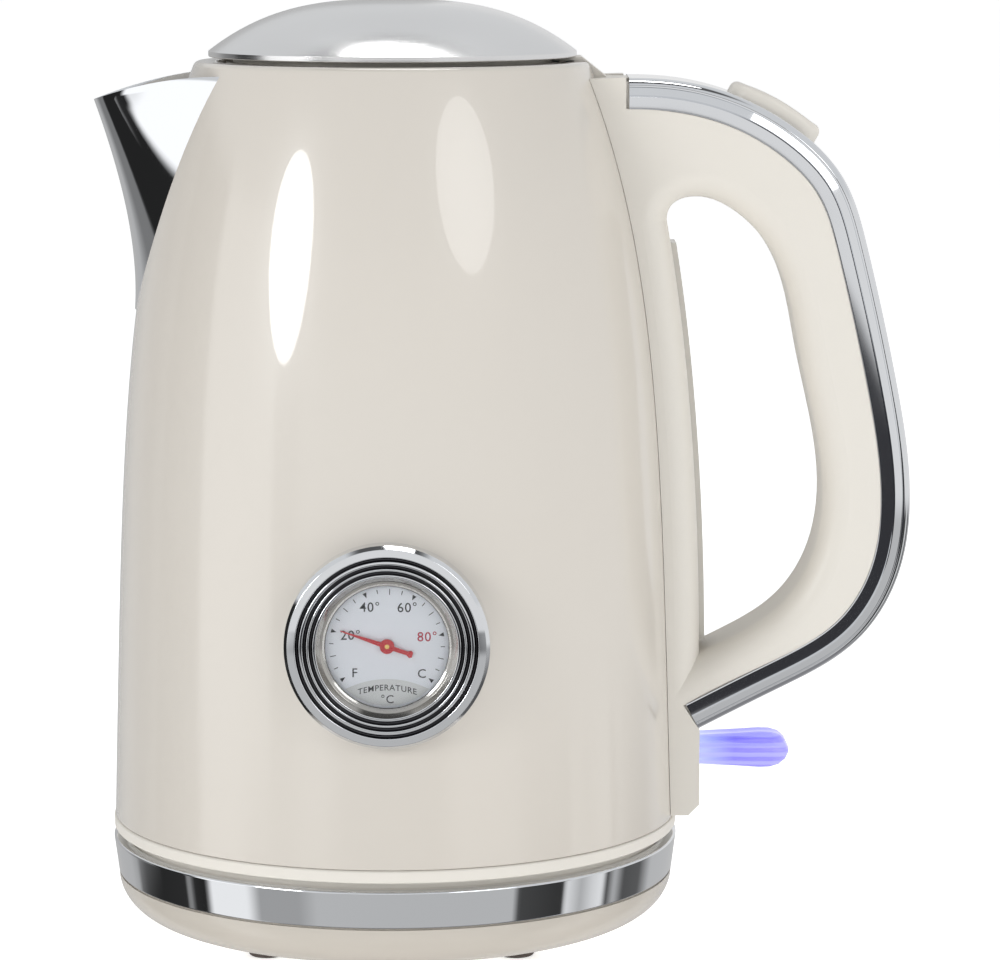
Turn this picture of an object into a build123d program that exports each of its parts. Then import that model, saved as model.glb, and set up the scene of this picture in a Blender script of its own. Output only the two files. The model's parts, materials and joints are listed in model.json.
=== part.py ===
from build123d import *
import math
import os

os.makedirs("parts", exist_ok=True)

# An electric kettle on its power base, in millimetres. The origin is on the table, on the
# kettle's own axis. +Z is up, +X points to the handle and -Y to the thermometer.

# ---- driving dimensions -------------------------------------------------------------------
# kettle body
BODY_R = 77.3          # outer radius at the foot of the steel wall
BODY_H = 206.0         # height of the steel wall
TAPER = 6.0            # even draw-in of the wall over its height
SHOULDER = 17.9        # extra draw-in of the rounded shoulder
SHOULDER_POWER = 4.3   # how late the shoulder turns in
WALL = 0.8             # sheet thickness
RIM_ROUND = 2.0        # rounding where the wall turns into the flat rim
RIM_LEDGE = 6.2        # flat rim from the wall to the mouth
NECK_DEPTH = 9.0       # turned-down neck inside the mouth

# power base
FOOT_PROUD = 2.2       # rubber foot below the base
FOOT_R = 5.0
FOOT_CIRCLE_R = 56.5
FOOT_COUNT = 5
BOWL_H = 12.0          # curved plastic side under the chrome ring
BOWL_RUN = 14.7        # how far the bowl curves in
RING_H = 10.0          # chrome ring height
RING_T = 0.8
RING_FLARE = 1.3       # the ring is wider at its top
RING_PROUD = 0.6       # ring top outside the kettle's wall
TRAY_WALL = 2.2
DECK_DROP = 4.5        # deck below the ring's top
SHADOW_GAP = 2.2       # open gap between the ring and the kettle's lip
PAN_T = 2.0

# electrical connector
TOWER_R = 16.5
TOWER_PROUD = 11.0     # tower above the deck
SLOT_R = 10.0          # mean radius of the ring contact's slot
SLOT_W = 3.4
PIN_BORE_R = 3.2
SOCKET_WALL = 4.0

# cord inlet
CORD_R = 3.3
GROMMET_R = 4.6
GROMMET_FLANGE_R = 5.2

# lip under the steel wall
LIP_H = 3.5
LIP_PROUD = 0.3

# lid
LID_OVERHANG = 2.6     # lid edge outside the mouth
LID_LIFT = 1.1         # gap between the rim and the lid's edge
LID_EDGE = 1.5
LID_DOME_H = 13.8
LID_T = 0.9
LINER_DEPTH = 8.5
HINGE_BACK = 5.5       # hinge pin outside the body's top radius
HINGE_DROP = 7.9       # hinge pin below the body's top
HINGE_PIN_R = 1.5
HINGE_HUB_R = 6.2      # round hub that fills the slot in the handle
HINGE_HALF_W = 8.0

# spout
SPOUT_REACH = 23.7     # tip outside the body wall
SPOUT_HALF_W = 31.0    # half width of the seam at the tip's height
SPOUT_DEPTH = 58.0     # height of the spout below its tip
SPOUT_TIP_DROP = 10.5  # tip below the body's top
SPOUT_T = 0.9
SPOUT_RISE = 7.3       # the rim climbs from the tip to the seam
SPOUT_LAP = 0.8        # the beak's edge dips this far into the wall, so that the seam is clean
SPOUT_PROUD = 0.5      # least height of the beak over the wall
MESH_OPEN_W = 40.0     # opening behind the spout
MESH_OPEN_H = 26.0

# handle
GRIP_HALF_W = 16.0
COLUMN_BACK = 6.2      # rear face of the column outside the body's foot radius
COLUMN_FOOT = 0.8      # foot of the column above the wall's foot
TRIM_T = 1.2
TRIM_BAND = 8.2        # how far the trim wraps round the sides
TRIM_PROUD = 0.3
WINDOW_HALF_W = 6.0
WINDOW_PROUD = 1.6
BUTTON_LEN = 27.0
BUTTON_HALF_W = 9.5
BUTTON_PROUD = 4.0
BUTTON_TILT = 29.0     # slope of the handle under the button

# switch
LEVER_Z = 47.0
LEVER_REACH = 31.2     # lever tip outside the body's foot radius
LEVER_T = 9.0
LEVER_HALF_W = 8.5
LEVER_PIVOT_IN = 7.3   # pivot inside the body's foot radius
LEVER_PIN_R = 1.5

# thermometer
GAUGE_Z = 89.5
BEZEL_R = 26.5
BEZEL_PROUD = 5.8
GAUGE_R = 18.3         # case and inner ring
DIAL_R = 16.9
NEEDLE_LEN = 12.7
NEEDLE_TAIL = 6.9
NEEDLE_REST = 161.2    # degrees from +X, seen from the front
STEM_R = 4.0
PROBE_R = 3.0
PROBE_LEN = 14.0

# inside
PLATE_Z = 56.0         # heating plate
PLATE_T = 1.2
PLATE_SEAL_H = 3.2
SPREADER_R = 50.0
SPREADER_T = 3.0
ELEMENT_R = 38.0
ELEMENT_TUBE_R = 3.4
CONTROL_R = 27.0
CONTROL_T = 7.5
STEAM_R = 3.2
STEAM_ANGLE = 32.0     # where the steam tube runs, from +X

# clearances
FIT = 0.1              # between pieces that stay together
RUN = 0.3              # between pieces that move apart
SHAFT_FIT = 0.05       # radial, a pin in its bore

# ---- places worked out from them ----------------------------------------------------------
RING_BOTTOM = FOOT_PROUD + BOWL_H + 0.5
RING_TOP = RING_BOTTOM + RING_H
DECK_Z = RING_TOP - DECK_DROP
LIP_Z = RING_TOP + SHADOW_GAP
BODY_Z = LIP_Z + LIP_H
BODY_TOP = BODY_Z + BODY_H
TOP_R = BODY_R - TAPER - SHOULDER
MOUTH_R = TOP_R - RIM_LEDGE
LID_R = MOUTH_R + LID_OVERHANG
LID_Z = BODY_TOP + LID_LIFT
HINGE_X = TOP_R + HINGE_BACK
HINGE_Z = BODY_TOP - HINGE_DROP
RING_R = BODY_R + RING_PROUD
SPOUT_TIP_Z = BODY_TOP - SPOUT_TIP_DROP
TOWER_TOP = DECK_Z + TOWER_PROUD


def wall_radius(z):
    """Outer radius of the steel wall at height z."""
    t = (z - BODY_Z) / BODY_H
    return BODY_R - TAPER * t - SHOULDER * max(t, 0.0) ** SHOULDER_POWER


def body_solid(inset, bottom, top):
    """A filled body of revolution whose side lies inset inside the steel wall."""
    count = 12
    heights = [bottom + (top - bottom) * i / count for i in range(count + 1)]
    side = [(wall_radius(z) - inset, z) for z in heights]
    with BuildPart(mode=Mode.PRIVATE) as solid:
        with BuildSketch(Plane.XZ):
            with BuildLine():
                Spline(*side)
                Polyline(side[-1], (0, top), (0, bottom), side[0])
            make_face()
        revolve(axis=Axis.Z)
    return solid.part


def ring_points(radius, count, first=0.0):
    """Places on a circle about the Z axis."""
    angles = [math.radians(first + 360.0 * i / count) for i in range(count)]
    return [(radius * math.cos(a), radius * math.sin(a)) for a in angles]


def cylinder_x(x0, x1, y, z, radius):
    """A round bar along X."""
    bar = Cylinder(radius, x1 - x0, rotation=(0, 90, 0), mode=Mode.PRIVATE)
    return Pos((x0 + x1) / 2, y, z) * bar


def cylinder_y(y0, y1, x, z, radius):
    """A round bar along Y."""
    bar = Cylinder(radius, y1 - y0, rotation=(90, 0, 0), mode=Mode.PRIVATE)
    return Pos(x, (y0 + y1) / 2, z) * bar


def cylinder_z(z0, z1, x, y, radius):
    """An upright round bar."""
    return Pos(x, y, (z0 + z1) / 2) * Cylinder(radius, z1 - z0, mode=Mode.PRIVATE)


def block(x0, x1, y0, y1, z0, z1):
    """A box between two corners."""
    box = Box(x1 - x0, y1 - y0, z1 - z0, mode=Mode.PRIVATE)
    return Pos((x0 + x1) / 2, (y0 + y1) / 2, (z0 + z1) / 2) * box


BODY_OUTSIDE = body_solid(0.0, BODY_Z - 8.0, BODY_TOP + 4.0)
BODY_CLEAR = body_solid(-FIT, BODY_Z - 8.0, BODY_TOP + 4.0)

# ---- power base ---------------------------------------------------------------------------
bowl_top_r = RING_R - RING_FLARE - 0.1
bowl_foot_r = bowl_top_r - BOWL_RUN
bowl_top = FOOT_PROUD + BOWL_H
rim_r = RING_R - RING_T - FIT
rim_top = RING_TOP - RING_T - FIT
rim_in_r = RING_R - 3.5
tray_screw_r = 45.0
gland_z = FOOT_PROUD + BOWL_H * 0.58
gland_y = bowl_top_r - 1.0
ring_corner = math.sqrt(0.5)

with BuildPart() as base_tray:
    with BuildSketch(Plane.XZ):
        with BuildLine():
            ThreePointArc(
                (bowl_foot_r, FOOT_PROUD),
                (bowl_foot_r + BOWL_RUN * ring_corner, bowl_top - BOWL_H * ring_corner),
                (bowl_top_r, bowl_top),
            )
            Polyline(
                (bowl_top_r, bowl_top),
                (rim_r - RING_FLARE, bowl_top),
                (rim_r, rim_top),
                (rim_in_r, rim_top),
                (rim_in_r, DECK_Z),
                (TOWER_R + FIT, DECK_Z),
                (TOWER_R + FIT, DECK_Z - TRAY_WALL),
                (rim_in_r - 1.2, DECK_Z - TRAY_WALL),
                (bowl_top_r - TRAY_WALL, bowl_top),
            )
            ThreePointArc(
                (bowl_top_r - TRAY_WALL, bowl_top),
                (
                    bowl_foot_r + (BOWL_RUN - TRAY_WALL) * ring_corner,
                    bowl_top - (BOWL_H - TRAY_WALL) * ring_corner,
                ),
                (bowl_foot_r, FOOT_PROUD + TRAY_WALL),
            )
            Line((bowl_foot_r, FOOT_PROUD + TRAY_WALL), (bowl_foot_r, FOOT_PROUD))
        make_face()
    revolve(axis=Axis.Z)
    boss_h = DECK_Z - TRAY_WALL - FOOT_PROUD - PAN_T - FIT
    with BuildSketch(Plane.XY.offset(DECK_Z - TRAY_WALL)):
        with Locations(*ring_points(tray_screw_r, 4, 45.0)):
            Circle(4.0)
            Circle(1.5, mode=Mode.SUBTRACT)
    extrude(amount=-boss_h)
    add(cylinder_y(gland_y - 20.0, gland_y + 20.0, 0.0, gland_z, GROMMET_R + FIT), mode=Mode.SUBTRACT)
    flange_pocket = cylinder_y(gland_y - 12.0, gland_y - 5.9, 0.0, gland_z, GROMMET_FLANGE_R + FIT)
    add(flange_pocket, mode=Mode.SUBTRACT)
base_tray.part.label = "base_tray"
export_step(base_tray.part, "parts/base_tray.step")

with BuildPart() as base_ring:
    with BuildSketch(Plane.XZ):
        with BuildLine():
            Polyline(
                (RING_R - RING_FLARE, RING_BOTTOM),
                (RING_R, RING_TOP),
                (RING_R - 3.4, RING_TOP),
                (RING_R - 3.4, RING_TOP - RING_T),
                (RING_R - RING_T, RING_TOP - RING_T),
                (RING_R - RING_FLARE - RING_T, RING_BOTTOM),
                close=True,
            )
        make_face()
    revolve(axis=Axis.Z)
    top_edge = base_ring.edges().filter_by(GeomType.CIRCLE).sort_by(lambda e: (e.radius, e.center().Z))[-1]
    fillet(top_edge, radius=RING_T * 0.7)
base_ring.part.label = "base_ring"
export_step(base_ring.part, "parts/base_ring.step")

pan_r = bowl_foot_r - FIT
foot_pocket = 0.9
with BuildPart() as base_pan:
    with BuildSketch(Plane.XY.offset(FOOT_PROUD)):
        Circle(pan_r)
        with Locations(*ring_points(tray_screw_r, 4, 45.0)):
            Circle(1.8, mode=Mode.SUBTRACT)
        with Locations(*ring_points(FOOT_CIRCLE_R, FOOT_COUNT, -54.0)):
            Circle(2.0, mode=Mode.SUBTRACT)
    extrude(amount=PAN_T)
    with BuildSketch(Plane.XY.offset(FOOT_PROUD)):
        with Locations(*ring_points(FOOT_CIRCLE_R, FOOT_COUNT, -54.0)):
            Circle(FOOT_R + FIT)
    extrude(amount=foot_pocket, mode=Mode.SUBTRACT)
    with BuildSketch(Plane.XY.offset(FOOT_PROUD)):
        with Locations(*ring_points(tray_screw_r, 4, 45.0)):
            Circle(3.4)
    extrude(amount=1.0, mode=Mode.SUBTRACT)
base_pan.part.label = "base_pan"
export_step(base_pan.part, "parts/base_pan.step")

with BuildPart() as base_feet:
    with BuildSketch(Plane.XY):
        with Locations(*ring_points(FOOT_CIRCLE_R, FOOT_COUNT, -54.0)):
            Circle(FOOT_R)
    extrude(amount=FOOT_PROUD + foot_pocket)
    foot_edges = base_feet.edges().group_by(Axis.Z)[0]
    chamfer(foot_edges, length=0.6)
    with BuildSketch(Plane.XY.offset(FOOT_PROUD + foot_pocket)):
        with Locations(*ring_points(FOOT_CIRCLE_R, FOOT_COUNT, -54.0)):
            Circle(2.0 - FIT)
    extrude(amount=PAN_T)
base_feet.part.label = "base_feet"
export_step(base_feet.part, "parts/base_feet.step")

with BuildPart() as base_screws:
    with BuildSketch(Plane.XY.offset(FOOT_PROUD + 0.2)):
        with Locations(*ring_points(tray_screw_r, 4, 45.0)):
            Circle(3.0)
            RectangleRounded(3.6, 0.8, 0.3, mode=Mode.SUBTRACT)
            RectangleRounded(0.8, 3.6, 0.3, mode=Mode.SUBTRACT)
    extrude(amount=0.75)
    with BuildSketch(Plane.XY.offset(FOOT_PROUD + 0.95)):
        with Locations(*ring_points(tray_screw_r, 4, 45.0)):
            Circle(1.4)
    extrude(amount=9.0)
base_screws.part.label = "base_screws"
export_step(base_screws.part, "parts/base_screws.step")

flange_top = DECK_Z - TRAY_WALL - FIT
tower_foot = FOOT_PROUD + PAN_T + 1.0
slot_bottom = TOWER_TOP - 9.0
with BuildPart() as base_connector:
    with BuildSketch(Plane.XY.offset(tower_foot)):
        Circle(TOWER_R)
    extrude(amount=TOWER_TOP - tower_foot)
    fillet(base_connector.edges().group_by(Axis.Z)[-1], radius=1.5)
    with BuildSketch(Plane.XY.offset(flange_top)):
        Circle(TOWER_R + 5.0)
        Circle(TOWER_R - 1.0, mode=Mode.SUBTRACT)
    extrude(amount=-2.0)
    with BuildSketch(Plane.XY.offset(TOWER_TOP)):
        Circle(SLOT_R + SLOT_W / 2)
        Circle(SLOT_R - SLOT_W / 2, mode=Mode.SUBTRACT)
        Circle(PIN_BORE_R)
    extrude(amount=-(TOWER_TOP - slot_bottom), mode=Mode.SUBTRACT)
base_connector.part.label = "base_connector"
export_step(base_connector.part, "parts/base_connector.step")

with BuildPart() as base_contacts:
    with BuildSketch(Plane.XY.offset(slot_bottom + FIT)):
        Circle(SLOT_R + SLOT_W / 2 - 0.1)
        Circle(SLOT_R + SLOT_W / 2 - 0.5, mode=Mode.SUBTRACT)
        Circle(PIN_BORE_R - 0.1)
        Circle(PIN_BORE_R - 0.4, mode=Mode.SUBTRACT)
    extrude(amount=5.0)
base_contacts.part.label = "base_contacts"
export_step(base_contacts.part, "parts/base_contacts.step")

with BuildPart() as cord_gland:
    add(cylinder_y(gland_y - 8.0, gland_y + 1.6, 0.0, gland_z, GROMMET_R))
    add(cylinder_y(gland_y - 8.0, gland_y - 6.0, 0.0, gland_z, GROMMET_FLANGE_R))
    add(cylinder_y(gland_y - 30.0, gland_y + 30.0, 0.0, gland_z, CORD_R), mode=Mode.SUBTRACT)
    front_rim = cord_gland.edges().filter_by(GeomType.CIRCLE).sort_by(Axis.Y)[-2:]
    chamfer(front_rim, length=0.4)
cord_gland.part.label = "cord_gland"
export_step(cord_gland.part, "parts/cord_gland.step")

# ---- plug half of the connector, under the kettle -------------------------------------------
socket_r = TOWER_R + RUN + SOCKET_WALL
socket_bottom = DECK_Z + 1.5
socket_top = TOWER_TOP + 4.5
with BuildPart() as kettle_socket:
    with BuildSketch(Plane.XY.offset(socket_bottom)):
        Circle(socket_r)
    extrude(amount=socket_top - socket_bottom)
    with BuildSketch(Plane.XY.offset(socket_bottom)):
        Circle(TOWER_R + RUN + 0.3)
    extrude(amount=TOWER_TOP + 0.6 - socket_bottom, mode=Mode.SUBTRACT)
    mouth_edge = kettle_socket.edges().group_by(Axis.Z)[0].sort_by(SortBy.LENGTH)[0]
    chamfer(mouth_edge, length=0.8)
    with BuildSketch(Plane.XY.offset(TOWER_TOP + 0.5)):
        Circle(SLOT_R + 0.8)
        Circle(SLOT_R - 0.8, mode=Mode.SUBTRACT)
        Circle(PIN_BORE_R - 1.2)
    extrude(amount=3.0, mode=Mode.SUBTRACT)
kettle_socket.part.label = "kettle_socket"
export_step(kettle_socket.part, "parts/kettle_socket.step")

with BuildPart() as socket_pins:
    with BuildSketch(Plane.XY.offset(TOWER_TOP - 5.5)):
        Circle(SLOT_R + 0.7)
        Circle(SLOT_R - 0.7, mode=Mode.SUBTRACT)
        Circle(PIN_BORE_R - 1.3)
    extrude(amount=8.8)
socket_pins.part.label = "socket_pins"
export_step(socket_pins.part, "parts/socket_pins.step")

# ---- kettle foot ----------------------------------------------------------------------------
lip_r = BODY_R + LIP_PROUD
nest_r = rim_in_r - 0.6
skirt_top = BODY_Z + 7.0
wall_in_r = wall_radius(skirt_top) - WALL - FIT
skirt_in_r = nest_r - TRAY_WALL
skirt_foot = DECK_Z + RUN
skirt_screw_r = skirt_in_r - 4.0
underside_z = skirt_foot + 2.5
with BuildPart() as kettle_skirt:
    with BuildSketch(Plane.XZ):
        with BuildLine():
            Polyline(
                (nest_r, skirt_foot),
                (nest_r, LIP_Z - 0.6),
                (lip_r - 0.6, LIP_Z),
                (lip_r, LIP_Z + 0.8),
                (lip_r, BODY_Z - FIT),
                (wall_in_r, BODY_Z - FIT),
                (wall_in_r, skirt_top),
                (wall_in_r - TRAY_WALL, skirt_top),
                (wall_in_r - TRAY_WALL, LIP_Z + TRAY_WALL),
                (skirt_in_r, LIP_Z + TRAY_WALL),
                (skirt_in_r, skirt_foot),
                close=True,
            )
        make_face()
    revolve(axis=Axis.Z)
    with BuildSketch(Plane.XY.offset(underside_z + TRAY_WALL + FIT)):
        with Locations(*ring_points(skirt_screw_r, 3, 60.0)):
            Circle(4.5)
            Circle(1.2, mode=Mode.SUBTRACT)
    extrude(amount=LIP_Z - underside_z)
kettle_skirt.part.label = "kettle_skirt"
export_step(kettle_skirt.part, "parts/kettle_skirt.step")

with BuildPart() as underside_plate:
    with BuildSketch(Plane.XY.offset(underside_z)):
        Circle(skirt_in_r - FIT)
        Circle(socket_r + 1.0, mode=Mode.SUBTRACT)
        with Locations(*ring_points(skirt_screw_r, 3, 60.0)):
            Circle(1.6, mode=Mode.SUBTRACT)
    extrude(amount=TRAY_WALL)
    with BuildSketch(Plane.XY.offset(underside_z + TRAY_WALL)):
        Circle(socket_r + 3.0)
        Circle(socket_r + 1.0, mode=Mode.SUBTRACT)
    extrude(amount=5.0)
underside_plate.part.label = "underside_plate"
export_step(underside_plate.part, "parts/underside_plate.step")

with BuildPart() as underside_screws:
    with BuildSketch(Plane.XY.offset(underside_z)):
        with Locations(*ring_points(skirt_screw_r, 3, 60.0)):
            Circle(3.0)
            RectangleRounded(3.6, 0.8, 0.3, mode=Mode.SUBTRACT)
            RectangleRounded(0.8, 3.6, 0.3, mode=Mode.SUBTRACT)
    extrude(amount=-1.2)
    with BuildSketch(Plane.XY.offset(underside_z)):
        with Locations(*ring_points(skirt_screw_r, 3, 60.0)):
            Circle(1.15)
    extrude(amount=6.5)
underside_screws.part.label = "underside_screws"
export_step(underside_screws.part, "parts/underside_screws.step")

# ---- steel body -----------------------------------------------------------------------------
opening_z = SPOUT_TIP_Z - 12.0
opening_plane = Plane.YZ.offset(-BODY_R - 5.0)
window_bottom = BODY_Z + 48.0
window_top = BODY_TOP - 49.0
lever_x = BODY_R - LEVER_PIVOT_IN
handle_screw_z = BODY_Z + 9.8
handle_screw_y = 12.0
notch_bottom = HINGE_Z - HINGE_HUB_R - 0.6
hinge_notch = block(
    MOUTH_R - 4.0, HINGE_X + 4.0,
    -HINGE_HALF_W - 0.6, HINGE_HALF_W + 0.6,
    notch_bottom, BODY_TOP + 5.0,
)

with BuildPart() as body_shell:
    add(body_solid(0.0, BODY_Z, BODY_TOP))
    fillet(body_shell.edges().group_by(Axis.Z)[-1], radius=RIM_ROUND)
    add(body_solid(WALL, BODY_Z - 1.0, BODY_TOP - WALL), mode=Mode.SUBTRACT)
    with BuildSketch(Plane.XY.offset(BODY_TOP)):
        Circle(MOUTH_R)
    extrude(amount=-2.0 * WALL, mode=Mode.SUBTRACT)
    with BuildSketch(Plane.XY.offset(BODY_TOP)):
        Circle(MOUTH_R + 0.1)
        Circle(MOUTH_R - WALL, mode=Mode.SUBTRACT)
    extrude(amount=-NECK_DEPTH)
    with BuildSketch(opening_plane):
        with Locations((0.0, opening_z)):
            RectangleRounded(MESH_OPEN_W, MESH_OPEN_H, 5.0)
    extrude(amount=BODY_R, mode=Mode.SUBTRACT)
    window_slot_h = window_top - window_bottom - 12.0
    with BuildSketch(Plane.YZ):
        with Locations((0.0, (window_top + window_bottom) / 2)):
            RectangleRounded(8.0, window_slot_h, 3.9)
    extrude(amount=BODY_R + 5.0, mode=Mode.SUBTRACT)
    with BuildSketch(Plane.YZ):
        with Locations((0.0, LEVER_Z + 1.4)):
            RectangleRounded(14.0, 13.0, 2.0)
        with Locations((handle_screw_y, handle_screw_z), (-handle_screw_y, handle_screw_z)):
            Circle(1.6)
    extrude(amount=BODY_R + 5.0, mode=Mode.SUBTRACT)
    add(cylinder_y(-BODY_R - 5.0, 0.0, 0.0, GAUGE_Z, STEM_R + FIT), mode=Mode.SUBTRACT)
    add(hinge_notch, mode=Mode.SUBTRACT)
body_shell.part.label = "body_shell"
export_step(body_shell.part, "parts/body_shell.step")

collar_out_r = MOUTH_R - WALL - FIT
collar_in_r = collar_out_r - 1.7
collar_top = BODY_TOP - 2.0
with BuildPart() as lid_collar:
    with BuildSketch(Plane.XY.offset(collar_top)):
        Circle(collar_out_r)
        Circle(collar_in_r, mode=Mode.SUBTRACT)
    extrude(amount=-10.0)
    add(hinge_notch, mode=Mode.SUBTRACT)
lid_collar.part.label = "lid_collar"
export_step(lid_collar.part, "parts/lid_collar.step")

# ---- spout ----------------------------------------------------------------------------------
SPOUT_FOOT_Z = SPOUT_TIP_Z - SPOUT_DEPTH


def spout_solid(thin):
    """The beak as a filled loft; thin moves its sides inwards by the sheet's thickness."""
    with BuildPart(mode=Mode.PRIVATE) as beak:
        for share in (0.03, 0.14, 0.32, 0.55, 0.78, 1.0, 1.2):
            z = SPOUT_FOOT_Z + SPOUT_DEPTH * share
            radius = wall_radius(z)
            half_w = SPOUT_HALF_W * share ** 0.31 - thin
            lift = SPOUT_PROUD + (SPOUT_REACH - SPOUT_PROUD) * share ** 1.75
            nose_x = -(radius + lift) + 1.15 * thin
            seam_x = -math.sqrt((radius - SPOUT_LAP) ** 2 - half_w ** 2)
            pull_x = (nose_x - 0.25 * seam_x) / 0.75
            pull_y = half_w / 3.0 * (1.0 - min(share, 1.0)) + 3.2 * share
            with BuildSketch(Plane.XY.offset(z)):
                with BuildLine():
                    Bezier((seam_x, -half_w), (pull_x, -pull_y), (pull_x, pull_y), (seam_x, half_w))
                    Polyline(
                        (seam_x, half_w),
                        (seam_x + 7.0, half_w - 2.0),
                        (seam_x + 7.0, 2.0 - half_w),
                        (seam_x, -half_w),
                    )
                make_face()
        loft()
    return beak.part


with BuildPart() as spout:
    add(spout_solid(0.0))
    add(spout_solid(SPOUT_T), mode=Mode.SUBTRACT)
    add(BODY_OUTSIDE, mode=Mode.SUBTRACT)
    tip_x = -(wall_radius(SPOUT_TIP_Z) + SPOUT_REACH)
    rim_end = (tip_x + 36.0, SPOUT_TIP_Z + SPOUT_RISE)
    rim_mid = (tip_x + 18.0, SPOUT_TIP_Z + SPOUT_RISE / 2 + 1.6)
    with BuildSketch(Plane.XZ):
        with BuildLine():
            ThreePointArc((tip_x, SPOUT_TIP_Z), rim_mid, rim_end)
            Polyline(
                rim_end,
                (rim_end[0] + 20.0, rim_end[1]),
                (rim_end[0] + 20.0, rim_end[1] + 40.0),
                (tip_x - 20.0, rim_end[1] + 40.0),
                (tip_x - 20.0, SPOUT_TIP_Z - 6.0),
                (tip_x, SPOUT_TIP_Z),
            )
        make_face()
    extrude(amount=60.0, both=True, mode=Mode.SUBTRACT)
spout.part.label = "spout"
export_step(spout.part, "parts/spout.step")

frame_out = WALL + FIT
with BuildPart() as filter_frame:
    add(body_solid(frame_out, opening_z - 30.0, opening_z + 25.0))
    add(body_solid(frame_out + 1.6, opening_z - 32.0, opening_z + 27.0), mode=Mode.SUBTRACT)
    with BuildSketch(opening_plane):
        with Locations((0.0, opening_z)):
            RectangleRounded(MESH_OPEN_W + 6.0, MESH_OPEN_H + 6.0, 6.0)
    extrude(amount=BODY_R, mode=Mode.INTERSECT)
    with BuildSketch(opening_plane):
        with Locations((0.0, opening_z)):
            RectangleRounded(MESH_OPEN_W - 3.0, MESH_OPEN_H - 3.0, 4.0)
            Rectangle(2.0, MESH_OPEN_H, mode=Mode.SUBTRACT)
    extrude(amount=BODY_R, mode=Mode.SUBTRACT)
filter_frame.part.label = "filter_frame"
export_step(filter_frame.part, "parts/filter_frame.step")

with BuildPart() as filter_mesh:
    add(body_solid(frame_out + 0.6, opening_z - 30.0, opening_z + 25.0))
    add(body_solid(frame_out + 1.0, opening_z - 32.0, opening_z + 27.0), mode=Mode.SUBTRACT)
    with BuildSketch(opening_plane):
        with Locations((0.0, opening_z)):
            RectangleRounded(MESH_OPEN_W - 3.2, MESH_OPEN_H - 3.2, 4.0)
            Rectangle(2.2, MESH_OPEN_H, mode=Mode.SUBTRACT)
    extrude(amount=BODY_R, mode=Mode.INTERSECT)
filter_mesh.part.label = "filter_mesh"
export_step(filter_mesh.part, "parts/filter_mesh.step")

# ---- handle ---------------------------------------------------------------------------------
# outline of the handle seen from the front: distance outside the body's foot radius, and height
handle_outer = Spline(
    (BODY_R - 22.3, BODY_TOP - 4.4),
    (BODY_R - 2.3, BODY_TOP - 4.8),
    (BODY_R + 14.7, BODY_TOP - 8.8),
    (BODY_R + 33.1, BODY_TOP - 19.2),
    (BODY_R + 44.2, BODY_TOP - 31.4),
    (BODY_R + 50.5, BODY_TOP - 48.8),
    (BODY_R + 59.2, BODY_TOP - 87.2),
    (BODY_R + 63.1, BODY_Z + 87.6),
    (BODY_R + 59.9, BODY_Z + 66.2),
    (BODY_R + 49.2, BODY_Z + 48.9),
    (BODY_R + 27.7, BODY_Z + 35.4),
    (BODY_R + COLUMN_BACK, BODY_Z + 24.4),
    mode=Mode.PRIVATE,
)
column_x = BODY_R + COLUMN_BACK
column_foot = BODY_Z + COLUMN_FOOT
trim_start = 0.03      # share of the outline where the trim begins
grip_round = 7.0
trim_round = 4.5


def inside_handle(depth, start=0.0, count=24):
    """Points at an even depth inside the handle's outline."""
    points = []
    for i in range(count + 1):
        share = start + (1.0 - start) * i / count
        point = handle_outer @ share
        along = handle_outer % share
        points.append((point.X + along.Y * depth, point.Y - along.X * depth))
    return points


def band(depth_out, depth_in, half_w, rounding):
    """A strip that follows the outline between two depths, rounded along its outer edges."""
    outer = inside_handle(depth_out, trim_start)
    inner = inside_handle(depth_in, trim_start)
    with BuildPart(mode=Mode.PRIVATE) as strip:
        with BuildSketch(Plane.XZ):
            with BuildLine():
                Spline(*outer)
                Line(outer[-1], inner[-1])
                Spline(*inner)
                Line(inner[0], outer[0])
            make_face()
        extrude(amount=half_w, both=True)
        long_edges = strip.edges().filter_by(GeomType.BSPLINE).sort_by(SortBy.LENGTH)[-2:]
        if rounding > 0.0:
            fillet(long_edges, radius=rounding)
    return strip.part


def column_line(out):
    """The column's rear face in the finger gap, moved out by a distance."""
    return [
        (BODY_R + 6.2 + out, BODY_Z + 45.0),
        (BODY_R + 5.5 + out, BODY_Z + 76.6),
        (BODY_R + 3.5 + out, BODY_TOP - 96.4),
        (BODY_R + 1.0 + out, BODY_TOP - 71.4),
        (BODY_R - 3.3 + out, BODY_TOP - 42.4),
    ]


def upright_prism(points, half_w):
    """A polygon in the XZ plane with an even thickness along Y."""
    with BuildPart(mode=Mode.PRIVATE) as prism:
        with BuildSketch(Plane.XZ):
            with BuildLine():
                Polyline(*points, close=True)
            make_face()
        extrude(amount=half_w, both=True)
    return prism.part


def window_prism(half_w, grow):
    """The water window's block, a little proud of the column, before the body is taken away."""
    line = column_line(WINDOW_PROUD)
    with BuildPart(mode=Mode.PRIVATE) as prism:
        with BuildSketch(Plane.XZ):
            with BuildLine():
                Spline(*line)
                Polyline(line[-1], (BODY_R - 24.0, line[-1][1]), (BODY_R - 24.0, line[0][1]), line[0])
            make_face()
        extrude(amount=half_w, both=True)
        add(
            block(BODY_R - 30.0, BODY_R + 20.0, -half_w, half_w, window_bottom - grow, window_top + grow),
            mode=Mode.INTERSECT,
        )
    return prism.part


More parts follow.
